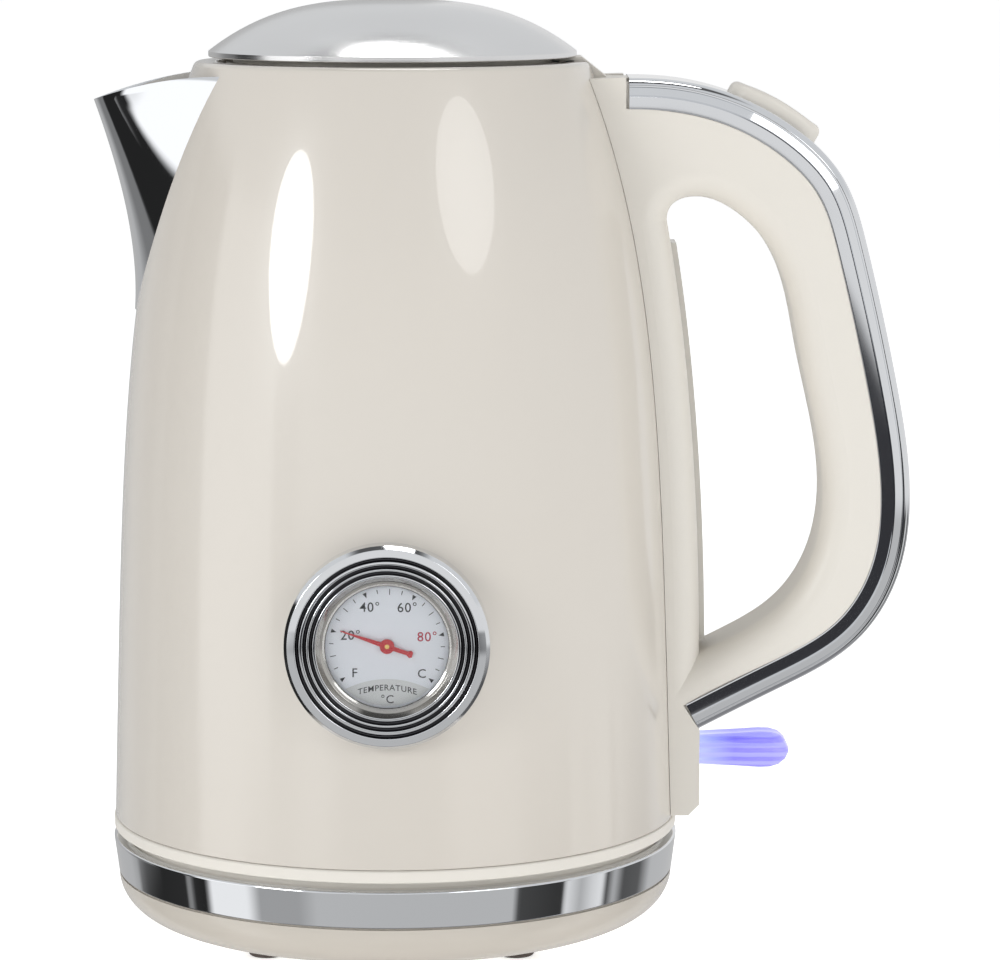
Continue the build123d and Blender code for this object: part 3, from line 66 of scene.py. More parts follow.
# %% Camera
camera_data = bpy.data.cameras.new("front_camera")
camera_data.sensor_width = 36.0
camera_data.lens = 147.2
camera = bpy.data.objects.new("front_camera", camera_data)
camera.location = (0.029, -1.1111, 0.2788)
camera.rotation_euler = (radians(81.95), 0.0, 0.0)
bpy.context.collection.objects.link(camera)
bpy.context.scene.camera = camera
print("camera at", tuple(camera.location))

# %% [markdown]
# ## Small tools for making materials
# Every finish is a Principled shader fed by procedural nodes. Effects that several finishes
# share, such as moulded grain or drawn lines, are node groups that put out masks and normals,
# so each finish places them with its own values.

# %% Node helpers
def linear(red, green, blue):
    """A colour from its 0-255 screen values, as the shader wants it."""
    def channel(value):
        value /= 255.0
        return value / 12.92 if value <= 0.04045 else ((value + 0.055) / 1.055) ** 2.4
    return (channel(red), channel(green), channel(blue), 1.0)


def group(name, inputs, outputs):
    """An empty node group with named sockets."""
    tree = bpy.data.node_groups.new(name, "ShaderNodeTree")
    for socket_name, kind, value in inputs:
        socket = tree.interface.new_socket(socket_name, in_out="INPUT", socket_type=kind)
        socket.default_value = value
    for socket_name, kind in outputs:
        tree.interface.new_socket(socket_name, in_out="OUTPUT", socket_type=kind)
    return tree, tree.nodes.new("NodeGroupInput").outputs, tree.nodes.new("NodeGroupOutput").inputs


def plug(tree, socket, value):
    """Links another socket to this one, or sets its value."""
    if isinstance(value, bpy.types.NodeSocket):
        tree.links.new(value, socket)
    else:
        socket.default_value = value


def node(tree, kind, settings=None, **sockets):
    """A node with some of its sockets set to values or linked."""
    made = tree.nodes.new(kind)
    for key, value in (settings or {}).items():
        setattr(made, key, value)
    for key, value in sockets.items():
        plug(tree, made.inputs[key.replace("_", " ")], value)
    return made


def mixed(tree, share, first, second):
    """A colour between first (share 0) and second (share 1); each is a colour or a socket."""
    mix = node(tree, "ShaderNodeMix", {"data_type": "RGBA"})
    for index, value in ((0, share), (6, first), (7, second)):
        plug(tree, mix.inputs[index], value)
    return mix.outputs[2]


def colour_ramp(tree, share, stops):
    """A colour for each share along a ramp, from (share, colour) stops."""
    ramp = node(tree, "ShaderNodeValToRGB", Fac=share)
    while len(ramp.color_ramp.elements) < len(stops):
        ramp.color_ramp.elements.new(0.5)
    for element, (position, colour) in zip(ramp.color_ramp.elements, stops):
        element.position = position
        element.color = colour
    return ramp.outputs["Color"]


print("helpers ready: linear, group, node, mixed, colour_ramp")

# %% [markdown]
# ### Shared effects
# Grain is the fine texture that a mould leaves on plastic. Flow is the slow waviness of paint
# or of polished sheet. Drawn lines are the fine scratches of brushed steel, which run round
# the axis of a turned piece.

# %% Shared effects
def grain_group():
    tree, given, result = group(
        "moulded_grain",
        [("Size", "NodeSocketFloat", 900.0), ("Height", "NodeSocketFloat", 0.1)],
        [("Normal", "NodeSocketVector"), ("Mask", "NodeSocketFloat")],
    )
    place = node(tree, "ShaderNodeTexCoord").outputs["Object"]
    noise = node(tree, "ShaderNodeTexNoise", Vector=place, Scale=given["Size"], Detail=3.0)
    bump = node(tree, "ShaderNodeBump", Strength=given["Height"], Distance=0.0002,
                Height=noise.outputs["Fac"])
    tree.links.new(bump.outputs["Normal"], result["Normal"])
    tree.links.new(noise.outputs["Fac"], result["Mask"])
    return tree


def flow_group():
    tree, given, result = group(
        "slow_flow",
        [("Size", "NodeSocketFloat", 30.0), ("Height", "NodeSocketFloat", 0.1),
         ("Low", "NodeSocketFloat", 0.1), ("High", "NodeSocketFloat", 0.2)],
        [("Normal", "NodeSocketVector"), ("Value", "NodeSocketFloat")],
    )
    place = node(tree, "ShaderNodeTexCoord").outputs["Object"]
    noise = node(tree, "ShaderNodeTexNoise", Vector=place, Scale=given["Size"], Detail=2.0)
    bump = node(tree, "ShaderNodeBump", Strength=given["Height"], Distance=0.001,
                Height=noise.outputs["Fac"])
    spread = node(tree, "ShaderNodeMapRange", Value=noise.outputs["Fac"], From_Min=0.3,
                  From_Max=0.7, To_Min=given["Low"], To_Max=given["High"])
    tree.links.new(bump.outputs["Normal"], result["Normal"])
    tree.links.new(spread.outputs["Result"], result["Value"])
    return tree


def drawn_group():
    tree, given, result = group(
        "drawn_lines",
        [("Height", "NodeSocketFloat", 0.1), ("Low", "NodeSocketFloat", 0.2),
         ("High", "NodeSocketFloat", 0.35)],
        [("Normal", "NodeSocketVector"), ("Value", "NodeSocketFloat")],
    )
    place = node(tree, "ShaderNodeTexCoord").outputs["Object"]
    x, y, z = node(tree, "ShaderNodeSeparateXYZ", Vector=place).outputs
    square_x = node(tree, "ShaderNodeMath", {"operation": "MULTIPLY"})
    tree.links.new(x, square_x.inputs[0])
    tree.links.new(x, square_x.inputs[1])
    square = node(tree, "ShaderNodeMath", {"operation": "MULTIPLY_ADD"})
    tree.links.new(y, square.inputs[0])
    tree.links.new(y, square.inputs[1])
    tree.links.new(square_x.outputs[0], square.inputs[2])
    radius = node(tree, "ShaderNodeMath", {"operation": "SQRT"})
    tree.links.new(square.outputs[0], radius.inputs[0])
    ring = node(tree, "ShaderNodeCombineXYZ", X=radius.outputs[0], Z=z)
    noise = node(tree, "ShaderNodeTexNoise", Vector=ring.outputs[0], Scale=2600.0, Detail=4.0)
    bump = node(tree, "ShaderNodeBump", Strength=given["Height"], Distance=0.0002,
                Height=noise.outputs["Fac"])
    spread = node(tree, "ShaderNodeMapRange", Value=noise.outputs["Fac"],
                  To_Min=given["Low"], To_Max=given["High"])
    tree.links.new(bump.outputs["Normal"], result["Normal"])
    tree.links.new(spread.outputs["Result"], result["Value"])
    return tree


EFFECTS = {"grain": grain_group(), "flow": flow_group(), "drawn": drawn_group()}
print("shared effects:", sorted(EFFECTS))


# %% [markdown]
# ### Building one finish
# A finish starts from two close colours mixed by a soft noise, because no real surface has
# one flat colour. Constant values, such as coat and transmission, sit on the shader itself.

# %% Finish maker
def finish(name, colour, effect, values, other=None, spots=12.0, **shader_values):
    """A material: two close colours, one shared effect for bump and roughness, and constants."""
    material = bpy.data.materials.new(name)
    material.use_nodes = True
    tree = material.node_tree
    shader = tree.nodes["Principled BSDF"]
    place = node(tree, "ShaderNodeTexCoord").outputs["Object"]
    noise = node(tree, "ShaderNodeTexNoise", Vector=place, Scale=spots, Detail=2.0)
    other = other or tuple(0.93 * channel for channel in colour[:3]) + (1.0,)
    tree.links.new(mixed(tree, noise.outputs["Fac"], colour, other), shader.inputs["Base Color"])
    shared = tree.nodes.new("ShaderNodeGroup")
    shared.node_tree = EFFECTS[effect]
    for key, value in values.items():
        shared.inputs[key].default_value = value
    tree.links.new(shared.outputs["Normal"], shader.inputs["Normal"])
    if "Value" in shared.outputs:
        tree.links.new(shared.outputs["Value"], shader.inputs["Roughness"])
    for key, value in shader_values.items():
        shader.inputs[key.replace("_", " ")].default_value = value
    return material


# %% [markdown]
# ### The finishes of this kettle
# The body is steel sheet with a cream enamel under a glossy clear coat. The handle and base
# are moulded plastic in the same cream, a little softer in gloss; the base's colour is made
# darker as painted shade, for the bowl low under the ring. Trims are chrome plated.

# %% Cream finishes
cream_enamel = finish(
    "cream_enamel", linear(209, 204, 196), "flow",
    {"Size": 60.0, "Height": 0.0008, "Low": 0.24, "High": 0.27},
    other=linear(210, 203, 193), spots=9.0, Coat_Weight=1.0, Coat_Roughness=0.03,
    Coat_IOR=1.5, Specular_IOR_Level=0.35,
)
cream_plastic = finish(
    "cream_plastic", linear(224, 220, 212), "grain", {"Size": 1500.0, "Height": 0.06},
    other=linear(222, 217, 208), Roughness=0.36, Specular_IOR_Level=0.4,
)
# Darker than the handle's cream: painted shade on the bowl under the chrome ring.
shaded_base_plastic = finish(
    "shaded_base_plastic", linear(196, 190, 180), "flow",
    {"Size": 40.0, "Height": 0.002, "Low": 0.2, "High": 0.24},
    other=linear(194, 187, 177), Specular_IOR_Level=0.45, Coat_Weight=0.4, Coat_Roughness=0.08,
)
print("cream finishes:", cream_enamel.name, cream_plastic.name, shaded_base_plastic.name)


# %% [markdown]
# ### Metals
# Chrome plating is almost a mirror. The bezel's grooves get a darker plating as painted shade,
# and its sunken inner cone a darker, rougher one, also painted shade. The lid and the inner
# parts are bare steel with drawn lines.

# %% Metals
def plated(name, colour, other, smooth, rough):
    """Chrome plating with the slow waviness of the sheet under it."""
    values = {"Size": 45.0, "Height": 0.004, "Low": smooth, "High": rough}
    return finish(name, colour, "flow", values, other=other, Metallic=1.0)


chrome = plated("chrome", linear(232, 234, 237), linear(226, 228, 231), 0.03, 0.06)
# The grooves' plating is darker: painted shade in the recesses.
groove_shade_chrome = plated("groove_shade_chrome", linear(92, 92, 96), linear(84, 84, 88), 0.05, 0.1)
# The cone's plating is darker and rougher: painted shade in the sunken cone, and a duller finish.
cone_shade_chrome = plated("cone_shade_chrome", linear(186, 184, 180), linear(178, 176, 172), 0.05, 0.12)
lid_steel = finish(
    "lid_steel", linear(228, 228, 228), "drawn", {"Height": 0.1, "Low": 0.13, "High": 0.26},
    other=linear(229, 229, 230), Metallic=1.0, Anisotropic=0.5,
)
inner_steel = finish(
    "inner_steel", linear(192, 192, 194), "drawn", {"Height": 0.16, "Low": 0.22, "High": 0.36},
    other=linear(180, 180, 183), Metallic=1.0,
)
brass = finish(
    "brass", linear(206, 172, 104), "flow",
    {"Size": 90.0, "Height": 0.05, "Low": 0.2, "High": 0.34},
    Metallic=1.0,
)
aluminium = finish(
    "aluminium", linear(190, 191, 193), "grain", {"Size": 800.0, "Height": 0.16},
    Metallic=1.0, Roughness=0.42,
)
print("metals:", chrome.name, lid_steel.name, inner_steel.name, brass.name, aluminium.name)

# %% [markdown]
# ### Small parts
# Rubber, silicone and dark plastic are matt. The dial's inks and the needle's paint have a
# very fine grain. The lens and the water window are clear.

# %% Dark, soft and printed finishes
dark_plastic = finish(
    "dark_plastic", linear(38, 38, 40), "grain", {"Size": 1400.0, "Height": 0.12},
    other=linear(30, 30, 33), Roughness=0.45,
)
rubber = finish(
    "rubber", linear(92, 82, 76), "grain", {"Size": 1100.0, "Height": 0.2},
    other=linear(80, 72, 68), Roughness=0.7,
)
silicone = finish(
    "silicone", linear(214, 210, 204), "grain", {"Size": 700.0, "Height": 0.1},
    Roughness=0.55, Transmission_Weight=0.15,
)
circuit_board = finish(
    "circuit_board", linear(34, 92, 56), "grain", {"Size": 600.0, "Height": 0.1},
    other=linear(24, 74, 44), spots=220.0, Roughness=0.5,
)
needle_red = finish(
    "needle_red", linear(205, 28, 38), "grain", {"Size": 900.0, "Height": 0.05},
    other=linear(190, 22, 32), Roughness=0.35,
)
PRINT = {"Size": 1600.0, "Height": 0.04}
dial_white = finish(
    "dial_white", linear(244, 246, 250), "grain", PRINT,
    other=linear(240, 242, 247), spots=40.0, Roughness=0.5,
)
dial_grey = finish(
    "dial_grey", linear(226, 227, 225), "grain", PRINT,
    other=linear(218, 219, 218), Roughness=0.5,
)
dial_black = finish("dial_black", linear(30, 30, 34), "grain", PRINT, Roughness=0.5)
dial_crimson = finish("dial_crimson", linear(186, 30, 62), "grain", PRINT, Roughness=0.5)
print("dial finishes:", dial_white.name, dial_grey.name, dial_black.name, dial_crimson.name)

# %% Clear finishes
clear_glass = finish(
    "clear_glass", (0.98, 0.99, 1.0, 1.0), "flow",
    {"Size": 30.0, "Height": 0.004, "Low": 0.0, "High": 0.02},
    Transmission_Weight=1.0, IOR=1.45,
)
smoked_clear = finish(
    "smoked_clear", linear(226, 222, 214), "flow",
    {"Size": 50.0, "Height": 0.002, "Low": 0.12, "High": 0.2},
    Transmission_Weight=0.25, IOR=1.45,
)
led_glow = finish(
    "led_glow", linear(190, 200, 255), "grain", {"Size": 900.0, "Height": 0.02},
    Roughness=0.3, Emission_Color=linear(150, 160, 255), Emission_Strength=1.5,
)
print("finishes:", len(bpy.data.materials))

# %% [markdown]
# ### The lit lever
# The lever is clear violet plastic with a lamp at its root. It is nearly white at the column,
# blue after that, and fades to violet at the tip, so its glow is a colour ramp along X. Its
# ribs carry the light, so pale stripes from a wave texture run along it.

# %% Lever finish
lever_low, lever_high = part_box("switch_lever")
COLUMN_DEPTH = 6.2 * MM
RIB_WAVES = 125.0
column_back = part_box("body_shell")[1].y + COLUMN_DEPTH
lever_glow = finish(
    "lever_glow", linear(140, 135, 235), "flow",
    {"Size": 120.0, "Height": 0.05, "Low": 0.08, "High": 0.16},
    other=linear(170, 165, 250), Transmission_Weight=0.35, IOR=1.45, Emission_Strength=0.42,
)
tree = lever_glow.node_tree
place = node(tree, "ShaderNodeTexCoord").outputs["Object"]
along = node(tree, "ShaderNodeSeparateXYZ", Vector=place).outputs[0]
share = node(tree, "ShaderNodeMapRange", Value=along,
             From_Min=column_back, From_Max=lever_high.x)
glow = colour_ramp(tree, share.outputs["Result"], [
    (0.0, linear(225, 245, 255)), (0.16, linear(170, 190, 255)), (0.4, linear(78, 64, 218)),
    (0.8, linear(110, 100, 228)), (1.0, linear(170, 166, 246)),
])
ribs = node(tree, "ShaderNodeTexWave", {"bands_direction": "Z"}, Vector=place,
            Scale=RIB_WAVES, Distortion=0.7, Detail=1.0)
depth = node(tree, "ShaderNodeMapRange", Value=ribs.outputs["Fac"],
             From_Min=0.35, From_Max=0.75, To_Max=0.62)
tree.links.new(mixed(tree, depth.outputs["Result"], glow, linear(216, 220, 255)),
               tree.nodes["Principled BSDF"].inputs["Emission Color"])
print("lever glow from", round(column_back, 4), "to", round(lever_high.x, 4))

# %% [markdown]
# ### Finishes for the CAD pieces that stay
# Pieces whose CAD shape is already right keep it, and only take a finish. The needle's
# spindle is brass, so that it shows as a rivet in the middle of the hub.

# %% Assign finishes to CAD nodes
SLOT_FINISH = {
    "cream_paint": cream_enamel, "cream_plastic": cream_plastic, "chrome": chrome,
    "steel": inner_steel, "dark_plastic": dark_plastic, "rubber": rubber, "silicone": silicone,
    "brass": brass, "aluminium": aluminium, "clear": clear_glass, "smoked_clear": smoked_clear,
    "lever_glow": lever_glow, "led": led_glow, "dial_white": dial_white,
    "needle_red": needle_red, "circuit_board": circuit_board,
}
node_slot = {part["node"]: part["material_slot"] for part in frame["record"]["subparts"]}
for name, cad_object in frame["nodes"].items():
    chosen = SLOT_FINISH[node_slot[name]]
    if not cad_object.material_slots:
        cad_object.data.materials.append(chosen)
    for material_slot in cad_object.material_slots:
        material_slot.material = chosen
for material_slot in frame["nodes"]["gauge_spindle"].material_slots:
    material_slot.material = brass
print("finishes set on", len(frame["nodes"]), "CAD nodes;", len(node_slot), "have a slot")


# %% [markdown]
# ## Small tools for making shapes
# Most of a kettle is turned: an outline spun once round an axis. Its corners are softened
# into arcs before it is spun, as pressed sheet and moulded plastic never have sharp corners.

# %% Shape helpers
def softened(points, radius, steps=5):
    """The same chain of points with each inner corner turned into an arc."""
    points = [Vector((point[0], 0.0, point[1])) for point in points]
    result = [points[0]]
    for before, corner, after in zip(points, points[1:], points[2:]):
        back, ahead = before - corner, after - corner
        half = back.angle(ahead) / 2
        if half > radians(88.5):
            result.append(corner)
            continue
        reach = min(radius / tan(half), 0.48 * back.length, 0.48 * ahead.length)
        centre = corner + (back.normalized() + ahead.normalized()).normalized() * reach / cos(half)
        first = corner + back.normalized() * reach - centre
        last = corner + ahead.normalized() * reach - centre
        for step in range(steps + 1):
            turned = first.normalized().slerp(last.normalized(), step / steps)
            result.append(centre + turned * first.length)
    result.append(points[-1])
    return [(point.x, point.z) for point in result]


def chain(bm, points):
    """An open chain of edges through points."""
    verts = [bm.verts.new(point) for point in points]
    return [bm.edges.new(pair) for pair in zip(verts, verts[1:])]


def spun(profile, steps=160):
    """A bmesh from a chain of (radius, height) points turned once round the Z axis."""
    bm = bmesh.new()
    edges = chain(bm, [(radius, 0.0, height) for radius, height in profile])
    bmesh.ops.spin(bm, geom=bm.verts[:] + edges, cent=(0, 0, 0), axis=(0, 0, 1),
                   angle=2 * pi, steps=steps, use_merge=True)
    tidy(bm)
    return bm


def tidy(bm):
    """Closes seams and poles, and turns the faces outwards."""
    bmesh.ops.remove_doubles(bm, verts=bm.verts, dist=2e-6)
    bmesh.ops.dissolve_degenerate(bm, dist=1e-7, edges=bm.edges)
    bmesh.ops.recalc_face_normals(bm, faces=bm.faces)


def piece(name, bm, materials, body, slot, *nodes, crease=32.0):
    """Turns a bmesh into a smooth-shaded object that rides on a body and stands for CAD nodes."""
    mesh = bpy.data.meshes.new(name)
    bm.to_mesh(mesh)
    bm.free()
    for material in materials if isinstance(materials, (list, tuple)) else [materials]:
        mesh.materials.append(material)
    mesh.shade_smooth()
    mesh.set_sharp_from_angle(angle=radians(crease))
    made = bpy.data.objects.new(name, mesh)
    bpy.context.collection.objects.link(made)
    shading = made.modifiers.new("even_shading", "WEIGHTED_NORMAL")
    shading.keep_sharp = True
    shading.weight = 100
    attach(made, body)
    if nodes:
        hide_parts(*nodes)
    print(name, "faces:", len(mesh.polygons))
    return made


def wall(made, thickness, material_step=0):
    """Gives a surface its sheet thickness on the inner side."""
    solidify = made.modifiers.new("wall", "SOLIDIFY")
    solidify.thickness = thickness
    solidify.offset = -1.0
    solidify.use_even_offset = True
    solidify.material_offset = material_step
    solidify.material_offset_rim = material_step
    return made


# %% [markdown]
# ## The steel body
# The real body is deep drawn from one sheet: nearly straight below, then turned in to a
# rounded shoulder. It is spun here from one outline that goes up the wall, round the rim, in
# to the mouth and down its neck. The openings are cut next, and Solidify gives the thickness
# last, so that every opening gets a clean edge. The inside keeps its bare steel.

# %% Wall outline
shell_low, shell_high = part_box("body_shell")
BODY_R = shell_high.y
BODY_Z = shell_low.z
BODY_TOP = shell_high.z
BODY_H = BODY_TOP - BODY_Z
TAPER = 6.0 * MM
SHOULDER = 17.9 * MM
SHOULDER_POWER = 4.3
SHEET = 0.8 * MM


def wall_radius(z):
    """Outer radius of the body's wall at a height."""
    share = max((z - BODY_Z) / BODY_H, 0.0)
    return BODY_R - TAPER * share - SHOULDER * share ** SHOULDER_POWER


TOP_R = wall_radius(BODY_TOP)
MOUTH_R = TOP_R - 6.2 * MM
print("wall radius at the foot and top, mm:", round(BODY_R / MM, 2), round(TOP_R / MM, 2))


# %% Openings in a wall
def rounded_sides(centre, half_w, half_h, corner, parts=4):
    """Planes that enclose a rounded rectangle seen along X: points and outward directions."""
    sides = []
    for side_y in (-1, 1):
        for side_z in (-1, 1):
            middle = Vector((0.0, side_y * (half_w - corner), centre + side_z * (half_h - corner)))
            for part in range(parts + 1):
                turn = pi / 2 * part / parts
                out = Vector((0.0, side_y * cos(turn), side_z * sin(turn)))
                sides.append((middle + corner * out, out))
    return sides


def cut_opening(bm, side_x, sides, margin=6.0 * MM):
    """Cuts a convex opening through the wall on one side of the X axis."""
    def within(face, slack):
        middle = face.calc_center_median()
        return middle.x * side_x > 0 and all(
            (middle - point).dot(out) < slack for point, out in sides)

    for point, out in sides:
        faces = [face for face in bm.faces if within(face, margin)]
        edges = {edge for face in faces for edge in face.edges}
        verts = {vert for face in faces for vert in face.verts}
        bmesh.ops.bisect_plane(bm, geom=list(verts) + list(edges) + faces, dist=1e-7,
                               plane_co=point, plane_no=out)
    inside = [face for face in bm.faces if within(face, 0.0)]
    bmesh.ops.delete(bm, geom=inside, context="FACES")


# %% Body shell
RIM_ROUND = 2.0 * MM
neck_foot = BODY_TOP - 10.4 * MM
rows = 64
heights = [BODY_Z + BODY_H * row / rows for row in range(rows)]
wall_line = [(wall_radius(z), z) for z in heights]
hem = softened([(BODY_R - 0.6 * MM, BODY_Z), (BODY_R, BODY_Z), wall_line[1]], 0.5 * MM)
rim = softened([wall_line[-1], (TOP_R, BODY_TOP), (MOUTH_R, BODY_TOP), (MOUTH_R, neck_foot)],
               RIM_ROUND)
bm = spun(hem[:-1] + wall_line[1:-1] + rim, steps=256)
SPOUT_TIP_Z = 225.9 * MM
mesh_z = SPOUT_TIP_Z - 12.0 * MM
cut_opening(bm, -1, rounded_sides(mesh_z, 20.0 * MM, 13.0 * MM, 5.0 * MM))
window_low, window_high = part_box("level_window")
window_z = (window_low.z + window_high.z) / 2
window_h = window_high.z - window_low.z
cut_opening(bm, 1, rounded_sides(window_z, 4.0 * MM, window_h / 2 - 6.0 * MM, 3.9 * MM))
LEVER_SLOT_Z = 48.4 * MM
cut_opening(bm, 1, rounded_sides(LEVER_SLOT_Z, 7.0 * MM, 6.5 * MM, 2.0 * MM))
HINGE = Vector((58.9 * MM, 0.0, 228.5 * MM))
NOTCH_HALF_W = 8.6 * MM
notch = [
    (Vector((0, NOTCH_HALF_W, 0)), Vector((0, 1, 0))),
    (Vector((0, -NOTCH_HALF_W, 0)), Vector((0, -1, 0))),
    (Vector((0, 0, HINGE.z - 6.8 * MM)), Vector((0, 0, -1))),
]
cut_opening(bm, 1, notch)
steel_body = piece("steel_body", bm, [cream_enamel, inner_steel], "kettle", "cream_paint",
                   "body_shell")
wall(steel_body, SHEET, material_step=1)

# %% [markdown]
# ## The lip, the power base and its chrome ring
# Under the steel wall sits a cream plastic lip. The power base is a shallow bowl with a
# chrome-plated ring round its top, which leans out a little.

# %% Kettle skirt
skirt_low, skirt_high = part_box("kettle_skirt")
LIP_R = skirt_high.y
LIP_Z = 26.9 * MM
NEST_R = 73.8 * MM
inner_r = wall_radius(skirt_high.z) - SHEET - 0.1 * MM
MOULD_WALL = 2.2 * MM
skirt_line = [
    (NEST_R - MOULD_WALL, skirt_low.z), (NEST_R, skirt_low.z), (NEST_R, LIP_Z),
    (LIP_R, LIP_Z), (LIP_R, BODY_Z - 0.1 * MM), (inner_r, BODY_Z - 0.1 * MM),
    (inner_r, skirt_high.z), (inner_r - MOULD_WALL, skirt_high.z),
    (inner_r - MOULD_WALL, LIP_Z + MOULD_WALL),
    (NEST_R - MOULD_WALL, LIP_Z + MOULD_WALL), (NEST_R - MOULD_WALL, skirt_low.z),
]
bm = spun(softened(skirt_line, 0.7 * MM), steps=192)
piece("kettle_lip", bm, cream_plastic, "kettle", "cream_plastic", "kettle_skirt")

# %% Base ring
ring_low, ring_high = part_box("base_ring")
RING_R = ring_high.y
FLARE = 1.3 * MM
ring_line = [
    (RING_R - 3.4 * MM, ring_high.z - SHEET), (RING_R - 3.4 * MM, ring_high.z),
    (RING_R, ring_high.z), (RING_R - FLARE, ring_low.z), (RING_R - FLARE - SHEET, ring_low.z),
    (RING_R - SHEET, ring_high.z - SHEET), (RING_R - 3.4 * MM, ring_high.z - SHEET),
]
bm = spun(softened(ring_line, 0.6 * MM), steps=256)
piece("chrome_ring", bm, chrome, "power_base", "chrome", "base_ring")

# %% Base bowl
BOWL_R = RING_R - FLARE - 0.1 * MM
BOWL_FOOT = 2.2 * MM
BOWL_TOP = 14.2 * MM
BOWL_RUN = 14.7 * MM
DECK_Z = 20.2 * MM
TOWER_R = 16.5 * MM


def bowl_arc(inset):
    """The bowl's curved side, from its foot up."""
    points = []
    for step in range(17):
        turn = pi / 2 * step / 16
        points.append((
            BOWL_R - BOWL_RUN + (BOWL_RUN - inset) * sin(turn),
            BOWL_TOP - (BOWL_TOP - BOWL_FOOT - inset) * cos(turn),
        ))
    return points


rim_r = RING_R - SHEET - 0.1 * MM
rim_z = ring_high.z - SHEET - 0.1 * MM
tray_rim = softened([
    (BOWL_R, BOWL_TOP), (rim_r - FLARE, BOWL_TOP), (rim_r, rim_z), (RING_R - 3.5 * MM, rim_z),
    (RING_R - 3.5 * MM, DECK_Z), (TOWER_R + 0.1 * MM, DECK_Z),
    (TOWER_R + 0.1 * MM, DECK_Z - MOULD_WALL), (RING_R - 4.7 * MM, DECK_Z - MOULD_WALL),
    (BOWL_R - MOULD_WALL, BOWL_TOP),
], 0.4 * MM, steps=3)
bm = spun(bowl_arc(0.0) + tray_rim[1:-1] + bowl_arc(MOULD_WALL)[::-1] + [bowl_arc(0.0)[0]],
          steps=192)
piece("base_bowl", bm, shaded_base_plastic, "power_base", "cream_plastic", "base_tray")

# %% [markdown]
# ## Rubber feet
# Five soft buttons hold the base off the table. One is turned and copied round the circle.

# %% Feet
FOOT_R = 5.0 * MM
FOOT_TOP = 3.1 * MM
FEET_R = 56.5 * MM
foot_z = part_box("base_feet")[0].z
bm = bmesh.new()
foot_line = softened([(0.0, foot_z), (FOOT_R, foot_z), (FOOT_R, FOOT_TOP), (0.0, FOOT_TOP)],
                     0.9 * MM)
for foot in range(5):
    turn = radians(-54.0 + 72.0 * foot)
    one = spun(foot_line, steps=40)
    bmesh.ops.translate(one, verts=one.verts, vec=(FEET_R * cos(turn), FEET_R * sin(turn), 0))
    part_mesh = bpy.data.meshes.new("foot")
    one.to_mesh(part_mesh)
    bm.from_mesh(part_mesh)
    one.free()
piece("rubber_feet", bm, rubber, "power_base", "rubber", "base_feet")

# %% [markdown]
# ## The lid
# The lid is a thin spun dome with its edge turned down. Fine lines from polishing run round
# it. The plastic liner under it is a separate CAD piece.

# %% Lid dome
lid_low, lid_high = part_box("lid_dome")
LID_R = lid_high.y
LID_EDGE = 1.5 * MM
DOME_H = lid_high.z - lid_low.z - LID_EDGE
DOME_POWER = 2.8
LID_SHEET = 0.9 * MM


def dome_line(inset):
    """The dome from its middle to its edge, moved in by the sheet's thickness."""
    points = []
    for step in range(33):
        share = sin(pi / 2 * step / 32)
        points.append((share * (LID_R - inset), lid_high.z - inset - DOME_H * share ** DOME_POWER))
    return points


edge = softened([dome_line(0.0)[-2], (LID_R, lid_low.z + LID_EDGE), (LID_R, lid_low.z),
                 (LID_R - LID_SHEET, lid_low.z)], 0.35 * MM)
bm = spun(dome_line(0.0)[:-1] + edge[1:] + dome_line(LID_SHEET)[::-1], steps=224)
piece("lid_cap", bm, lid_steel, "lid", "chrome", "lid_dome")

# %% [markdown]
# ## The spout
# The beak is a bent sheet that stands off the wall: narrow and flush at its foot, wide and
# pointed at its tip. Each level is one curve from seam to seam round the nose. The levels are
# bridged into a surface whose last row is the rim, and Solidify gives the sheet's thickness.

# %% Spout
SPOUT_HALF_W = 31.0 * MM
SPOUT_REACH = 23.7 * MM
SPOUT_DEPTH = 58.0 * MM
SPOUT_PROUD = 0.5 * MM
SPOUT_LAP = 0.8 * MM
SPOUT_SHEET = 0.9 * MM
SPOUT_FOOT = SPOUT_TIP_Z - SPOUT_DEPTH
SPOUT_TIP_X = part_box("spout")[0].x
rim_rise = 7.3 * MM
rim_run = 36.0 * MM


def rim_height(x):
    """Height of the beak's rim, a shallow arc that climbs from the tip to the seam."""
    share = min(max((x - SPOUT_TIP_X) / rim_run, 0.0), 1.0)
    return SPOUT_TIP_Z + rim_rise * share + 6.4 * MM * share * (1.0 - share)


def spout_point(across, z):
    """A point of the beak at a height; across goes from 0 at one seam to 1 at the other."""
    share = max((z - SPOUT_FOOT) / SPOUT_DEPTH, 0.02)
    radius = wall_radius(z)
    half_w = SPOUT_HALF_W * share ** 0.31
    nose_x = -(radius + SPOUT_PROUD + (SPOUT_REACH - SPOUT_PROUD) * share ** 1.75)
    seam_x = -sqrt(max((radius - SPOUT_LAP) ** 2 - half_w ** 2, 0.0))
    pull_x = (nose_x - 0.25 * seam_x) / 0.75
    pull_y = half_w / 3.0 * (1.0 - min(share, 1.0)) + 3.2 * MM * share
    a, b = 1.0 - across, across
    x = (a ** 3 + b ** 3) * seam_x + 3 * a * b * pull_x
    y = (b ** 3 - a ** 3) * half_w + 3 * a * b * (b - a) * pull_y
    return Vector((x, y, z))


